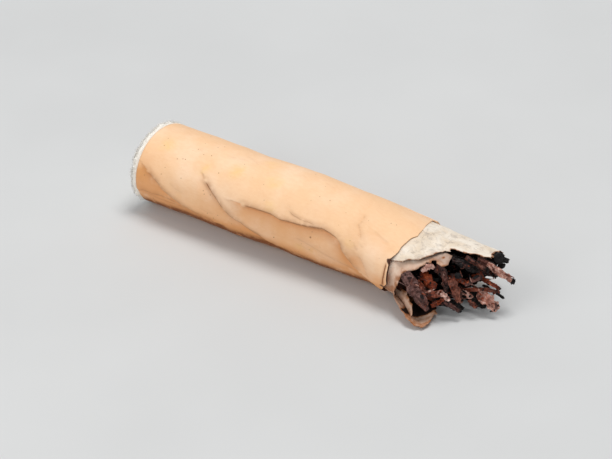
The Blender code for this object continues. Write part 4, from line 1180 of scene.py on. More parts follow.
@dataclass
class CigarettePaper:
    """The torn white wrap: a roof over the mouth, a lap at the near top and a flared collar.

    Attributes:
        crush: Where the crush puts each point.
        relief: The folds of the wrap round it.
        tear: The torn edge, as (mm past the tipping paper, degrees).
        lip_line: Where the scorched inside of the collar ends and its pale lip begins.
        lip_roll: How far the lip's rim curls up off the ground.
    """

    crush: CrushMap
    relief: WrapRelief
    finish: CigarettePaperFinish = field(default_factory=CigarettePaperFinish)
    tipping_length: float = 0.0273
    first: float = 0.02309
    radius: float = 0.00365
    wall: float = 0.00005
    rise: float = 0.00008
    lap: float = 0.0035
    first_turn: float = math.radians(100)
    lap_slope: float = math.radians(14)
    splay: float = 0.0021
    splay_turn: tuple[float, float] = (math.radians(217), math.radians(22))
    cuff: float = 0.00032
    cuff_turn: tuple[float, float] = (math.radians(208), math.radians(17))
    rim_curl: float = 0.00055
    rim_curl_turn: tuple[float, float] = (math.radians(204), math.radians(18))
    rim_curl_reach: float = 0.0005
    tuck: float = 0.00014
    lift: float = 0.00018
    swell: float = 0.0001
    sag: float = 0.00013
    sag_reach: float = 0.0013
    roof_sag: float = 0.00012
    waver: float = 0.00009
    spacing: float = 0.00016
    tear_spacing: float = 0.00006
    tear: PlanLine = (
        (3.9, 100), (4.05, 110), (4.05, 118), (3.75, 122), (3.3, 121), (3.05, 117), (2.8, 120), (2.75, 125),
        (2.45, 126), (2.3, 134), (1.9, 144), (1.4, 151), (1.05, 156), (0.95, 170), (0.8, 182), (0.65, 192),
        (0.8, 200), (1.5, 206), (2.8, 211), (3.8, 217), (4.3, 225), (4.2, 233), (3.6, 242), (2.9, 254),
        (2.8, 268), (3.5, 290), (4.6, 312), (5.2, 338), (5.8, 370), (6.2, 400), (6.3, 427), (6.7, 436),
        (6.0, 440), (5.1, 446), (4.9, 448), (4.3, 450), (3.5, 454), (3.2, 462), (2.8, 469), (2.4, 480),
        (1.9, 488), (1.2, 494), (0.6, 502), (-0.4, 508),
    )  # fmt: skip
    lip_line: PlanLine = ((2.4, 206), (2.45, 214), (2.65, 222), (3.0, 230), (3.5, 238), (4.1, 248), (4.6, 256))
    lip_roll: float = 0.0004
    lip_roll_reach: float = 0.0009
    curl_line: PlanLine = ((-0.3, 207), (0.1, 209), (0.8, 212), (1.4, 213), (2.1, 214), (2.6, 214))
    curl_lean: tuple[float, float, float] = (0.00016, 0.0004, 0.00068)
    curl_grid: tuple[int, int] = (40, 12)

    def torn_edge(self) -> Array:
        """The torn edge in the unrolled paper, with its waver and the fibrous jags of a tear."""
        radius = self.crush.radius
        corners = unrolled(self.tear, radius)
        corners[:, 0] += self.tipping_length
        line = divided(corners, self.tear_spacing)
        angle = line[:, 1] / radius
        waves = np.sin(angle * 23.0) + 0.7 * np.sin(angle * 41.0 + 1.3) + 0.5 * np.sin(angle * 67.0 + 0.4)
        turn = np.degrees(angle)
        cut = (1.0 - 0.75 * smooth_rise(turn, 458.0, 12.0)) * (0.3 + 0.7 * smooth_rise(turn, 200.0, 30.0))
        line[:, 0] += self.waver * waves * cut
        jags = 0.00004 * Waves(41, 0.0005).vectors(line) + 0.00003 * Waves(42, 0.00018).vectors(line)
        return line + jags[:, :2] * cut[:, None]

    def outline(self) -> Array:
        """The closed rim of the unrolled paper: its torn edge, then its lap, its cut end and its start."""
        torn = self.torn_edge()
        back = np.array([torn[-1], (self.first, torn[-1, 1]), (self.first, torn[0, 1]), torn[0]])
        return np.concatenate([torn, divided(back, self.spacing)[1:-1]])

    def to_tear(self, along: Array, angle: Array) -> Array:
        """Distance to the tear as drawn, before its waver."""
        corners = unrolled(self.tear, self.crush.radius)
        corners[:, 0] += self.tipping_length
        return np.abs(line_distance(along, angle * self.crush.radius, corners))

    def folds(self, along: Array, angle: Array) -> Array:
        """Relief of the paper: under the tipping paper it gives way, past it has its own folds."""
        turn = np.mod(angle, math.tau)
        past = along - self.tipping_length
        to_tear = self.to_tear(along, angle)
        lip = self.splay * smooth_rise(past, 0.0003, 0.0033) * bell(turn, *self.splay_turn)
        inner = angle < self.first_turn + self.lap / self.crush.radius
        tuck = self.tuck * smooth_rise(past, 0.0, 0.0012) * inner
        outer = smooth_rise(angle, self.first_turn + math.tau, self.lap_slope)
        lift = self.lift * smooth_rise(past, 0.0, 0.001) * outer
        sag = self.roof_sag * bell(past, 0.0025, 0.0012) * bell(turn, math.radians(72), math.radians(14))
        cuff = self.cuff * smooth_rise(past, -0.0001, 0.0006) * bell(turn, *self.cuff_turn)
        curl = self.rim_curl * (1.0 - smooth_rise(to_tear, 0.0, self.rim_curl_reach)) * bell(turn, *self.rim_curl_turn)
        swell = smooth_rise(along, self.tipping_length - 0.0014, 0.001) + smooth_rise(past, 0.0, 0.0014)
        swell = self.swell * swell * smooth_rise(angle, self.first_turn + self.lap / self.crush.radius, self.lap_slope)
        swell = swell * (1.0 - smooth_rise(angle, self.first_turn + math.tau - self.lap_slope, self.lap_slope))
        free = smooth_rise(along, self.tipping_length - 0.0007, 0.0012)
        under = self.relief.under(along, angle, self.crush.radius)
        return (1.0 - free) * under + free * (lip - tuck + lift - sag + cuff + curl) + swell

    def crumples(self, along: Array, angle: Array) -> Array:
        """Fine creases of the free paper, and the small curls along its tear."""
        rolled = np.stack([along, np.cos(angle) * self.radius, np.sin(angle) * self.radius], axis=-1)
        soft = 0.00004 * Waves(31, 0.0024).heights(rolled)
        sharp = -0.00003 * np.abs(Waves(32, 0.0013).heights(rolled)) - 0.000012 * np.abs(Waves(34, 0.0006).heights(rolled))
        near_tear = np.exp(-self.to_tear(along, angle) / 0.0004)
        curled = 0.00005 * near_tear * np.abs(Waves(33, 0.0009).heights(rolled))
        return smooth_rise(along, self.tipping_length - 0.0003, 0.0009) * (soft + sharp + curled)

    def stains(self, along: Array, angle: Array, back: bool) -> dict[str, Array]:
        """Ash on the roof, tar round the mouth, scorching at the tear, and painted shade inside the roof and along the
        lap's edge.

        Args:
            along: Distance along the butt.
            angle: Turn round the roll, from its inner edge.
            back: True for the side that faced the tobacco.

        Returns:
            The strength of each stain at each point.
        """
        turn = np.degrees(angle)
        past = (along - self.tipping_length) / MM
        to_tear = self.to_tear(along, angle) / MM
        collar = smooth_rise(turn, 166.0, 30.0) * (1.0 - smooth_rise(turn, 262.0, 30.0))
        inner_layer = 1.0 - smooth_rise(turn, 168.0, 24.0)
        rim = np.exp(-to_tear / 0.32)
        charred_rim = smooth_rise(turn, 250.0, 40.0) * (1.0 - smooth_rise(turn, 452.0, 6.0))
        lap_edge = smooth_rise(turn, 456.0, 8.0)
        spot = 0.7 * np.exp(-(((turn - 109.0) / 2.2) ** 2 + ((past - 3.4) / 0.14) ** 2))
        if back:
            marks, turns = np.array(self.lip_line).T
            inside_lip = smooth_rise(np.interp(turn, turns, marks) - past, -0.1, 0.5)
            charred = np.maximum(smooth_rise(past, 1.3, 0.6), smooth_rise(turn, 226.0, 10.0))
            # Inside: the band by the lip is scorching, made darker further in as painted shade; the roof's underside
            # past turn 250 and the inner layer's back away from its tear are black, as painted shade.
            deep_in = 0.5 + 0.5 * np.maximum(smooth_rise(past, 0.9, 0.7), smooth_rise(turn, 246.0, 12.0))
            scorch_and_shade = inside_lip * charred * smooth_rise(turn, 190.0, 20.0) * deep_in + smooth_rise(turn, 250.0, 20.0)
            scorch_and_shade = scorch_and_shade + 1.1 * (1.0 - smooth_rise(turn, 138.0, 20.0)) * smooth_rise(to_tear, 0.1, 0.3)
            tar = 0.92 + 0.2 * bell(past, 0.0, 0.5) + 0.4 * rim * bell(turn, 222.0, 20.0)
            ash = np.full(along.shape, 0.45)
        else:
            tar = 1.1 * collar + 0.6 * inner_layer + 0.2 * rim * (1.0 - charred_rim) + 0.2 * rim
            tar = tar + 0.3 * bell(turn, 108.0, 18.0) + 0.7 * smooth_rise(past, 0.35, 0.5) * bell(turn, 184.0, 20.0)
            # Scorching along the tear; along the lap's edge the dark line is partly scorching and partly the painted
            # shadow of the lifted edge.
            scorch_and_shade = (0.1 + 0.85 * charred_rim + 0.4 * lap_edge) * np.exp(-to_tear / 0.08) + spot
            ash = np.clip(0.4 + 0.7 * bell(turn, 450.0, 50.0) + 1.3 * bell(turn, 108.0, 16.0), 0.0, 1.7)
        return {"tar": np.clip(tar, 0.0, 1.2), "scorch_and_shade": np.clip(scorch_and_shade, 0.0, 1.2), "ash": ash}

    def build_curl(self, maker: MeshMaker) -> bpy.types.Object:
        """Builds the tan curl of torn paper that stands inside the near rim.

        Args:
            maker: Makes and files the piece.

        Returns:
            The curl.
        """
        count, rows = self.curl_grid
        past, turns = np.array(self.curl_line).T
        run = np.linspace(0.0, 1.0, count)
        along = self.tipping_length + np.interp(run, np.linspace(0.0, 1.0, len(past)), past) * MM
        angle = np.radians(np.interp(run, np.linspace(0.0, 1.0, len(turns)), turns))
        foot = self.crush.place(along, angle, self.radius - 2.0 * self.wall, self.folds(along, angle), 0.0)
        width = np.sin((0.12 + 0.8 * run) * math.pi) ** 0.6
        width = width * (1.0 + 0.12 * np.sin(run * 17.0) + 0.07 * np.sin(run * 41.0))
        faces_of, paints = [], []
        for wall in (0.0, self.wall):
            for row in np.linspace(0.0, 1.0, rows):
                bow = np.array([0.5, -0.8, 0.3]) * 0.00016 * math.sin(row * math.pi)
                shift = np.array(self.curl_lean) * row + bow + np.array([-0.3, 0.9, -0.2]) * wall
                faces_of.append(foot + width[:, None] * shift)
                paints.append(np.full(count, 0.9 + 0.3 * abs(2.0 * row - 0.9) ** 2.5))
        points = np.concatenate(faces_of)
        points = points + 0.00002 * Waves(43, 0.0004).vectors(points)
        faces = sheet_faces(rows, count)
        tar = np.concatenate(paints)
        paint = {"tar": tar, "scorch_and_shade": np.clip(tar - 1.0, 0.0, 1.0), "ash": np.full(len(tar), 0.2)}
        return maker.piece("torn_curl", points, faces, self.finish.material(), "cigarette_paper", paint=paint)

    def build(self, maker: MeshMaker) -> bpy.types.Object:
        """Builds the torn paper and dresses it."""
        sheet = FlatSheet.cut(self.outline(), self.spacing)
        along, angle = sheet.points[:, 0], sheet.points[:, 1] / self.crush.radius
        relief = self.folds(along, angle) + self.crumples(along, angle)
        radius = self.radius + self.rise * smooth_rise(angle, self.first_turn + math.tau - self.lap_slope, self.lap_slope)
        sink = self.sag * smooth_rise(along, self.tipping_length + self.sag, self.sag_reach)
        outer = self.crush.place(along, angle, radius, relief, sink)
        inner = self.crush.place(along, angle, radius - self.wall, relief, sink)
        near_rim = np.clip(1.0 - self.to_tear(along, angle) / self.lip_roll_reach, 0.0, 1.0)
        rolled = near_rim**1.5 * bell(angle, math.radians(231), math.radians(19))
        for face in (outer, inner):
            face[:, 2] += self.lip_roll * rolled
            face[:, 0] -= 0.5 * self.lip_roll * rolled**2
        front, back = self.stains(along, angle, False), self.stains(along, angle, True)
        paint = {label: np.concatenate([front[label], back[label]]) for label in front}
        points = np.concatenate([outer, inner])
        finish = self.finish.material()
        return maker.piece(
            "torn_paper", points, sheet.closed_faces(), finish, "cigarette_paper", ("cigarette_paper",), paint
        )


@dataclass
class FilterTow:
    """The white fibre rod, its fluffed end and the loose fibres that stand out of it."""

    crush: CrushMap
    finish: TowFinish = field(default_factory=TowFinish)
    length: float = 0.023
    radius: float = 0.00359
    rim: float = 0.00387
    proud: float = 0.0006
    sides: int = 200
    rings: int = 34
    fibres: int = 1500
    hairs: int = 900
    fibre_radius: float = 0.000011
    seed: int = 17

    def end_profile(self, share: Array) -> tuple[Array, Array]:
        """Profile of the fluffed end, from the middle of its face to inside the wrap.

        Args:
            share: 0 at the middle of the face to 1 inside the wrap.

        Returns:
            The place along the butt and the radius.
        """
        stops = (0.0, 0.6, 0.8, 0.9, 0.96, 1.0)
        along = np.interp(share, stops, (-0.8, -0.78, -0.7, -0.52, -0.2, 0.05)) * MM
        radius = np.interp(share, stops, (0.0, 2.95, 3.6, 3.86, 3.88, 3.59)) * MM
        return along, radius

    def face_place(self, share: float, angle: float, out: float = 0.0, off: float = 0.0) -> Vector:
        """A place on the fluffed end, by its share of the profile and its turn, or out and off it."""
        along, radius = self.end_profile(np.array(share))
        lumps = 0.00004 * Waves(51, 0.0008).heights(
            np.array([[0.0, math.cos(angle) * float(radius), math.sin(angle) * float(radius)]])
        )
        point = Vector(self.crush.place(along - lumps[0] - out, np.array(angle), radius, np.array(off)))
        point.z = max(point.z, self.fibre_radius)
        return point

    def hair(self, chance: random.Random) -> list[Vector]:
        """The path of one curled hair that stands out of the rim."""
        share, angle = chance.uniform(0.8, 0.95), chance.uniform(0.0, math.tau)
        reach = chance.uniform(0.0001, 0.00032)
        lean, drift = chance.uniform(0.1, 1.2), chance.gauss(0.0, 1.0) * reach / 0.004
        path = []
        for step in range(5):
            part = step / 4
            rise = reach * math.sin(part * 1.9)
            path.append(
                self.face_place(share, angle + drift * part, rise * math.cos(lean) - 0.00003, rise * math.sin(lean) * 0.8)
            )
        return path

    def build_rod(self, maker: MeshMaker) -> bpy.types.Object:
        """Builds the rod with its fluffed face."""
        shares = np.linspace(0.03, 1.0, self.rings)
        along, radius = self.end_profile(shares)
        along = np.concatenate([along, [0.001, 0.008, 0.016, self.length]])
        radius = np.concatenate([radius, np.full(4, self.radius - 0.0003)])
        angles = np.arange(self.sides) * math.tau / self.sides
        grid_along = np.repeat(along, self.sides)
        grid_radius = np.repeat(radius, self.sides)
        grid_angle = np.tile(angles, len(along))
        round_it = np.stack(
            [grid_along * 0.5, np.cos(grid_angle) * grid_radius, np.sin(grid_angle) * grid_radius], axis=-1
        )
        free = grid_along < 0.0
        lumps = 0.00004 * Waves(51, 0.0008).heights(round_it) + 0.000022 * Waves(52, 0.00026).heights(round_it)
        points = self.crush.place(grid_along - lumps * free, grid_angle, grid_radius, lumps * free * 0.6)
        first = self.crush.place(np.array(-0.00078), np.array(0.0), np.array(0.0), np.array(0.0))
        last = self.crush.place(np.array(self.length), np.array(0.0), np.array(0.0), np.array(0.0))
        faces = []
        for ring in range(len(along) - 1):
            for side in range(self.sides):
                here, there = ring * self.sides, (ring + 1) * self.sides
                turn = (side + 1) % self.sides
                faces.append((here + side, here + turn, there + turn, there + side))
        count = len(points)
        far = (len(along) - 1) * self.sides
        for side in range(self.sides):
            turn = (side + 1) % self.sides
            faces.append((count, turn, side))
            faces.append((count + 1, far + side, far + turn))
        smoke = 0.75 * (1.0 - smooth_rise(grid_radius, 0.0012, 0.0021))
        paint = {"smoke": np.concatenate([smoke, [0.75, 0.0]])}
        points = np.concatenate([points, [first, last]])
        return maker.piece(
            "fluffed_tow", points, faces, self.finish.material(), "filter_tow", ("filter_tow",), paint
        )

    def build_fibres(self, maker: MeshMaker) -> bpy.types.Object:
        """Builds the loose fibres: crimped threads over the face and a fuzz round its rim."""
        chance = random.Random(self.seed)
        threads = Threads()
        for number in range(self.fibres):
            at_rim = number % 5 < 3
            share = chance.uniform(0.72, 0.94) if at_rim else math.sqrt(chance.uniform(0.0, 0.6))
            angle = chance.uniform(0.0, math.tau)
            length = chance.uniform(0.00025, 0.0007) if at_rim else chance.uniform(0.0004, 0.0011)
            drift = chance.gauss(0.0, 1.0) * length / 0.0036
            rise = chance.uniform(0.00004, 0.0002) if at_rim else chance.uniform(0.00002, 0.00008)
            spread = chance.uniform(-0.05, 0.05)
            path = []
            for step in range(5):
                part = step / 4
                crimp = 0.00003 * math.sin(part * 9.0 + number)
                where = min(max(share + spread * part, 0.02), 0.95)
                out = rise * math.sin(part * math.pi * 0.8) + crimp * 0.6 - 0.00002
                path.append(self.face_place(where, angle + drift * part + crimp * 40.0, max(out, -0.00003)))
            threads.add(path, self.fibre_radius * chance.uniform(0.7, 1.3))
        for _ in range(self.hairs):
            threads.add(self.hair(chance), self.fibre_radius * chance.uniform(0.8, 1.3))
        fuzz = TowFinish(name="tow_fibre_finish", white=srgb(255, 250, 242))
        return maker.piece("tow_fibres", *threads.mesh(), fuzz.material(), "filter_tow", paint={})


@dataclass
class Threads:
    """Many thin closed tubes gathered into one mesh."""

    points: list[Vector] = field(default_factory=list)
    faces: list[tuple[int, ...]] = field(default_factory=list)
    sides: int = 3

    def add(self, path: list[Vector], radius: float) -> None:
        """Adds one tube that tapers to both its ends.

        Args:
            path: The places that it follows.
            radius: Its radius at the middle.
        """
        start = len(self.points)
        last = len(path) - 1
        for number, place in enumerate(path):
            ahead = path[min(number + 1, last)] - path[max(number - 1, 0)]
            if ahead.length < 1e-9:
                ahead = Vector((1.0, 0.0, 0.0))
            side = ahead.orthogonal().normalized()
            up = ahead.cross(side).normalized()
            thick = radius * (1.0 - 0.55 * abs(2.0 * number / last - 1.0) ** 3)
            for corner in range(self.sides):
                turn = corner * math.tau / self.sides
                self.points.append(place + (side * math.cos(turn) + up * math.sin(turn)) * thick)
        for number in range(last):
            for corner in range(self.sides):
                here, there = start + number * self.sides, start + (number + 1) * self.sides
                turn = (corner + 1) % self.sides
                self.faces.append((here + corner, here + turn, there + turn, there + corner))
        self.faces.append(tuple(start + corner for corner in reversed(range(self.sides))))
        self.faces.append(tuple(start + last * self.sides + corner for corner in range(self.sides)))

    def mesh(self) -> tuple[Array, list[tuple[int, ...]]]:
        """All the tubes' points and faces."""
        return np.array([tuple(point) for point in self.points]), self.faces


@dataclass
class PlugWrap:
    """The filter's own thin paper, whose edge shows between the fibres and the outer wrap."""

    node: bpy.types.Object
    finish: PlugWrapFinish = field(default_factory=PlugWrapFinish)

    def build(self) -> None:
        """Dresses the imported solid, whose form is right."""
        self.node.data.materials.clear()
        self.node.data.materials.append(self.finish.material())
        LOG.info("plug_wrap: dressed")


@dataclass
class MouthPlace:
    """Where a point lies in the torn mouth, and how much painted shade it gets in the dark hollow.

    Attributes:
        crush: The crush map, which is turned round here.
        tipping_length: Where the mouth begins.
    """

    crush: CrushMap
    tipping_length: float = 0.0273

    def shares(self, points: Array) -> tuple[Array, Array, Array]:
        """Mm past the tipping paper, and shares of the half width and half height.

        Args:
            points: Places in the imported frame.

        Returns:
            The three measures of each place.
        """
        along = points[:, 0] - self.crush.origin[0]
        aside, middle = self.crush.spine(along)
        across = (points[:, 1] - self.crush.origin[1] - aside) / self.crush.half_width(along)
        up = (points[:, 2] - middle) / self.crush.half_height(along)
        return (along - self.tipping_length) / MM, across, up

    def depth_shade(self, points: Array) -> Array:
        """Painted shade for each place, drawn near-black: deep in the hollow, behind the front leaves and low down."""
        past, across, up = self.shares(points)
        hollow = bell(across, 0.2, 0.55) * bell(up, 0.42, 0.42) * (1.0 - smooth_rise(past, 4.6, 2.2))
        deep = (1.0 - smooth_rise(past, 0.9, 1.5)) * (1.0 - 0.8 * smooth_rise(-across, 0.4, 0.3))
        low = 0.7 * smooth_rise(-up, 0.45, 0.35) * smooth_rise(across, -0.6, 0.35)
        return np.clip(np.maximum(np.maximum(hollow, deep), low), 0.0, 1.0)


@dataclass
class CrumpledLeaf:
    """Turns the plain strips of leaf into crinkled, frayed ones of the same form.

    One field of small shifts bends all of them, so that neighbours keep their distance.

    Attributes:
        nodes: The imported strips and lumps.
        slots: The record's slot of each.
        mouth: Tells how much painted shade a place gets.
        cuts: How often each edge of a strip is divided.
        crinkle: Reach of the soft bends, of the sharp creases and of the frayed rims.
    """

    nodes: dict[str, bpy.types.Object]
    slots: dict[str, str]
    mouth: MouthPlace
    cuts: int = 4
    crinkle: tuple[float, float, float] = (0.00005, 0.00005, 0.00002)
    facing: tuple[float, float, float] = (0.5, -0.68, 0.54)
    sharp_angle: float = math.radians(38)
    materials: dict[str, bpy.types.Material] = field(default_factory=dict)

    def finish_for(self, slot: str) -> bpy.types.Material:
        """The finish of a slot, made once."""
        if slot not in self.materials:
            tone = Leaf(slot)
            finish = CharFinish() if tone is Leaf.CHAR else LEAF_FINISHES[tone]
            self.materials[slot] = finish.material()
        return self.materials[slot]

    def refined(self, node: bpy.types.Object) -> tuple[Array, list[tuple[int, ...]]]:
        """The solid's mesh with its doubled points joined and its faces divided, still flat and sharp."""
        shape = bmesh.new()
        shape.from_mesh(node.data)
        bmesh.ops.remove_doubles(shape, verts=shape.verts, dist=1e-7)
        bmesh.ops.subdivide_edges(shape, edges=shape.edges, cuts=self.cuts, use_grid_fill=True)
        bmesh.ops.triangulate(shape, faces=[face for face in shape.faces if len(face.verts) > 4])
        shape.verts.index_update()
        points = np.array([tuple(vertex.co) for vertex in shape.verts])
        faces = [tuple(vertex.index for vertex in face.verts) for face in shape.faces]
        shape.free()
        return points, faces

    def crinkled(self, points: Array) -> Array:
        """The points moved by the one field that all the leaf shares."""
        bend, crease, fray = self.crinkle
        moved = points + bend * Waves(61, 0.00095).vectors(points)
        folds = np.abs(Waves(62, 0.0005).heights(points)) - 0.6
        small = np.abs(Waves(64, 0.00026).heights(points)) - 0.6
        moved = moved - (crease * folds + 0.4 * crease * small)[:, None] * np.array(self.facing)
        return moved + fray * Waves(63, 0.00014).vectors(points)

    def grain_paint(self, points: Array, number: int) -> dict[str, Array]:
        """Places along and across a strip, in metres, which its veins follow.

        Args:
            points: The strip's points.
            number: Sets its veins apart from those of the others.

        Returns:
            The two painted coordinates.
        """
        centred = points - points.mean(axis=0)
        _, _, axes = np.linalg.svd(centred, full_matrices=False)
        return {"lengthwise": centred @ axes[0] + number * 0.013, "crosswise": centred @ axes[1]}

    def build(self, maker: MeshMaker) -> None:
        """Builds a crinkled piece for each strip and lump."""
        for number, (name, node) in enumerate(self.nodes.items()):
            points, faces = self.refined(node)
            paint = self.grain_paint(points, number)
            points = self.crinkled(points)
            past, _, _ = self.mouth.shares(points)
            look = STRIP_LOOKS.get(name, HIDDEN_LOOK)
            tip = 1.2 * look.rim * smooth_rise(past, past.max() - 0.3 * np.ptp(past), 0.35 * np.ptp(past))
            rim = look.rim * smooth_rise(np.abs(paint["crosswise"]) / np.abs(paint["crosswise"]).max(), 0.5, 0.5)
            # Painted shade deep in the hollow, behind the front leaves and low down, laid in the same near-black as the
            # char.
            depth_shade = self.mouth.depth_shade(points) * min(1.0, look.rim / 0.4)
            paint["burnt"] = np.maximum.reduce([depth_shade, look.burnt + tip, look.burnt + rim])
            paint["glow"] = look.glow * (1.4 - 0.9 * smooth_rise(past, past.min(), np.ptp(past)))
            paint["worn"] = np.full(len(points), look.worn)
            slot = self.slots[name]
            piece = maker.piece(f"{name}_crinkled", points, faces, self.finish_for(slot), slot, (name,), paint)
            piece.data.set_sharp_from_angle(angle=self.sharp_angle)


@dataclass
class LeafCrumbs:
    """Splinters and chips of leaf, lying on and between the strips.

    Attributes:
        nodes: The solids that they lie on.
        leaf: Where their finishes and their shifts come from.
        count: How many of each tone.
    """

    nodes: list[bpy.types.Object]
    leaf: CrumpledLeaf
    count: dict[Leaf, int] = field(
        default_factory=lambda: {Leaf.DARK: 190, Leaf.BROWN: 200, Leaf.RUST: 110, Leaf.PINK: 100, Leaf.CHAR: 150}
    )
    splinters: float = 0.24
    stations: int = 5
    corners: tuple[tuple[float, float], ...] = ((-1.0, -0.5), (-1.0, 0.5), (0.1, 0.9), (1.0, 0.4), (1.0, -0.5))
    seed: int = 23

    def chip(
        self, chance: random.Random, tone: Leaf, seat: Vector, facing: Vector
    ) -> tuple[list[Vector], list[tuple[int, ...]]]:
        """One bent chip or thin splinter.

        Args:
            chance: Random source.
            tone: The leaf that it comes from.
            seat: Where it lies.
            facing: The way that its seat faces.

        Returns:
            Its points and faces.
        """
        splinter = tone is not Leaf.CHAR and chance.random() < self.splinters
        length = chance.uniform(0.0007, 0.0017) if splinter else chance.uniform(0.00016, 0.00075)
        width = chance.uniform(0.00007, 0.00016) if splinter else chance.uniform(0.0001, 0.00034)
        thick = chance.uniform(0.00002, 0.00005)
        side = Matrix.Rotation(chance.uniform(0.0, math.tau), 3, facing) @ facing.orthogonal().normalized()
        if splinter:
            side = (Vector((1.0, chance.uniform(-0.7, 0.4), chance.uniform(-0.3, 0.3))) + 0.4 * side).normalized()
        tilt = Matrix.Rotation(chance.uniform(-0.7, 0.7), 3, side.cross(facing))
        side, up = tilt @ side, tilt @ facing
        across = side.cross(up)
        bend = chance.uniform(-0.25, 0.35) * length
        points = []
        for number in range(self.stations):
            part = number / (self.stations - 1)
            middle = seat + side * (part - 0.5) * length + up * (bend * (part - 0.5) ** 2 * 4.0 + thick * 0.7)
            half = width * (1.0 - 0.6 * abs(2.0 * part - 1.0) ** 2) * chance.uniform(0.55, 1.15) / 2
            for across_share, up_share in self.corners:
                shift = chance.uniform(-0.25, 0.25) * half
                points.append(middle + across * (across_share * half + shift) + up * up_share * thick)
        count = len(self.corners)
        faces = []
        for number in range(self.stations - 1):
            for corner in range(count):
                here, there = number * count, (number + 1) * count
                turn = (corner + 1) % count
                faces.append((here + corner, here + turn, there + turn, there + corner))
        last = (self.stations - 1) * count
        faces.append(tuple(reversed(range(count))))
        faces.append(tuple(last + corner for corner in range(count)))
        return points, faces

    def lies_free(self, points: list[Vector]) -> bool:
        """Whether a chip clears the papers, that is lies in the mouth and under the roof."""
        past, across, up = self.leaf.mouth.shares(np.array([tuple(point) for point in points]))
        roofed = (across**2 + up**2 > 0.72) & (up > 0.1) & (across > -0.5) & (past < 8.4)
        return bool(past.min() > 0.3 and past.max() < 9.2 and not roofed.any())

    def build(self, maker: MeshMaker) -> None:
        """Builds the chips, one piece for each tone."""
        chance = random.Random(self.seed)
        centres, normals, areas = [], [], []
        for node in self.nodes:
            for polygon in node.data.polygons:
                if polygon.normal.z > -0.3:
                    centres.append(tuple(polygon.center))
                    normals.append(polygon.normal.copy())
                    areas.append(polygon.area)
        moved = self.leaf.crinkled(np.array(centres))
        for tone, count in self.count.items():
            points: list[Vector] = []
            faces: list[tuple[int, ...]] = []
            for seat in chance.choices(range(len(areas)), areas, k=count):
                chip_points, chip_faces = self.chip(chance, tone, Vector(moved[seat]), normals[seat])
                if not self.lies_free(chip_points):
                    continue
                start = len(points)
                points.extend(chip_points)
                faces.extend(tuple(start + corner for corner in face) for face in chip_faces)
            array = np.array([tuple(point) for point in points])
            array[:, 2] = np.maximum(array[:, 2], 0.00002)
            paint = self.leaf.grain_paint(array, 0)
            # Painted shade deep in the mouth, in the char's near-black.
            paint["burnt"] = 0.9 * self.leaf.mouth.depth_shade(array)
            material = self.leaf.finish_for(tone.value)
            piece = maker.piece(f"{tone.value}_crumbs", array, faces, material, tone.value, paint=paint)
            piece.data.set_sharp_from_angle(angle=self.leaf.sharp_angle)


@dataclass(frozen=True)
class FloorFinish:
    """Plain pale floor with the faintest mottle."""

    pale: Colour = (0.66, 0.66, 0.65)
    mottle: Colour = (0.63, 0.63, 0.62)

    def material(self) -> bpy.types.Material:
        """Builds the node tree."""
        made = Sockets("floor_finish")
        cloudy = made.noise(0.03, 3.0)
        colour = made.mix(made.span(cloudy, 0.3, 0.7), self.pale, self.mottle)
        return made.finish(colour, 0.7, made.bump(cloudy, 0.00001, 0.2))


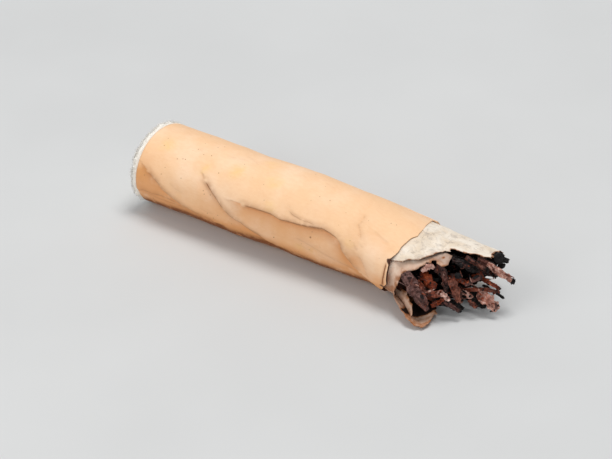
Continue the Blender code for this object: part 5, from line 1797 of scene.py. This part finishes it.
@dataclass
class Studio:
    """Floor, lamps, sky and the camera at the photograph's angle.

    Attributes:
        crush: Gives the butt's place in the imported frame.
        azimuth: Degrees that the camera stands round the butt.
        elevation: Degrees that it looks down.
        distance: From the aim to the camera.
        aim: The aim, measured from the filter's mouth end on the ground.
        slide: How far the view is slid right and up from the aim.
        focal_pixels: Focal length in pixels of the photograph.
        frame_width: Width of the photograph in pixels.
    """

    crush: CrushMap
    azimuth: float = 36.18
    elevation: float = 33.0
    distance: float = 0.1587
    aim: tuple[float, float, float] = (0.018, 0.0, 0.0037)
    slide: tuple[float, float] = (0.00139, 0.00064)
    focal_pixels: float = 1800.0
    frame_width: float = 612.0
    sensor: float = 36.0

    def camera(self) -> None:
        """Makes the scene's camera."""
        turn, rise = math.radians(self.azimuth), math.radians(self.elevation)
        back = Vector((math.sin(turn) * math.cos(rise), -math.cos(turn) * math.cos(rise), math.sin(rise)))
        right = Vector((math.cos(turn), math.sin(turn), 0.0))
        up = back.cross(right)
        data = bpy.data.cameras.new("photo_camera")
        data.sensor_width = self.sensor
        data.lens = self.sensor * self.focal_pixels / self.frame_width
        data.clip_start = 0.005
        camera = bpy.data.objects.new("photo_camera", data)
        origin = Vector((*self.crush.origin, 0.0))
        place = origin + Vector(self.aim) + back * self.distance - right * self.slide[0] - up * self.slide[1]
        matrix = Matrix((right, up, back)).transposed().to_4x4()
        matrix.translation = place
        camera.matrix_world = matrix
        bpy.context.scene.collection.objects.link(camera)
        bpy.context.scene.camera = camera

    def floor(self) -> None:
        """Makes the pale floor under the butt."""
        half = 1.2
        mesh = bpy.data.meshes.new("floor")
        corners = [(-half, -half, 0.0), (half, -half, 0.0), (half, half, 0.0), (-half, half, 0.0)]
        mesh.from_pydata(corners, [], [(0, 1, 2, 3)])
        mesh.materials.append(FloorFinish().material())
        floor = bpy.data.objects.new("floor", mesh)
        floor.location = (0.0, 0.0, -0.00001)
        bpy.context.scene.collection.objects.link(floor)

    def lamp(self, name: str, place: tuple[float, float, float], size: float, power: float) -> None:
        """Makes one square soft lamp that looks at the butt.

        Args:
            name: Name of the lamp.
            place: Where it stands.
            size: Side of its square.
            power: Its power in watts.
        """
        data = bpy.data.lights.new(name, "AREA")
        data.size = size
        data.energy = power
        lamp = bpy.data.objects.new(name, data)
        lamp.location = place
        lamp.rotation_euler = (-Vector(place)).to_track_quat("-Z", "Y").to_euler()
        bpy.context.scene.collection.objects.link(lamp)

    def sky(self, strength: float) -> None:
        """Makes the even light that comes from all round."""
        world = bpy.data.worlds.new("studio_sky")
        world.use_nodes = True
        background = world.node_tree.nodes["Background"]
        background.inputs["Color"].default_value = (0.93, 0.96, 1.0, 1.0)
        background.inputs["Strength"].default_value = strength
        bpy.context.scene.world = world

    def build(self) -> None:
        """Builds the studio."""
        self.camera()
        self.floor()
        self.lamp("key_softbox", (0.03, 0.06, 0.36), 0.15, 0.74)
        self.lamp("fill_softbox", (-0.12, -0.3, 0.2), 0.26, 0.52)
        self.sky(0.42)
        bpy.context.scene.view_settings.view_transform = "Standard"
        LOG.info("studio: camera, floor, lamps and sky")


def butt_origin(wrap: bpy.types.Object) -> tuple[float, float]:
    """Where the axis at the filter's mouth end stands, read from the plug wrap's first ring.

    Args:
        wrap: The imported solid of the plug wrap, which starts there and is even about the axis.

    Returns:
        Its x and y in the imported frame.
    """
    first = min(vertex.co.x for vertex in wrap.data.vertices)
    ring = [vertex.co.y for vertex in wrap.data.vertices if vertex.co.x < first + 0.1 * MM]
    return first, (min(ring) + max(ring)) / 2


def main() -> None:
    """Builds the pieces in order."""
    logging.basicConfig(level=logging.INFO, format="%(name)s %(message)s")
    for old in list(bpy.data.objects):
        bpy.data.objects.remove(old, do_unlink=True)
    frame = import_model()
    nodes = frame["nodes"]
    slots = {part["node"]: part["material_slot"] for part in frame["record"]["subparts"]}
    crush = CrushMap(origin=butt_origin(nodes["plug_wrap"]))
    maker = MeshMaker()
    Studio(crush).build()
    wrap = TippingPaper(crush)
    wrap.build(maker)
    paper = CigarettePaper(crush, wrap.relief)
    paper.build(maker)
    paper.build_curl(maker)
    tow = FilterTow(crush)
    tow.build_rod(maker)
    tow.build_fibres(maker)
    PlugWrap(nodes["plug_wrap"]).build()
    leafy = {Leaf.DARK.value, Leaf.BROWN.value, Leaf.RUST.value, Leaf.PINK.value, Leaf.PACKED.value, Leaf.CHAR.value}
    strips = {name: node for name, node in nodes.items() if slots[name] in leafy}
    leaf = CrumpledLeaf(strips, slots, MouthPlace(crush))
    leaf.build(maker)
    LeafCrumbs(list(strips.values()), leaf).build(maker)


if __name__ == "__main__":
    main()
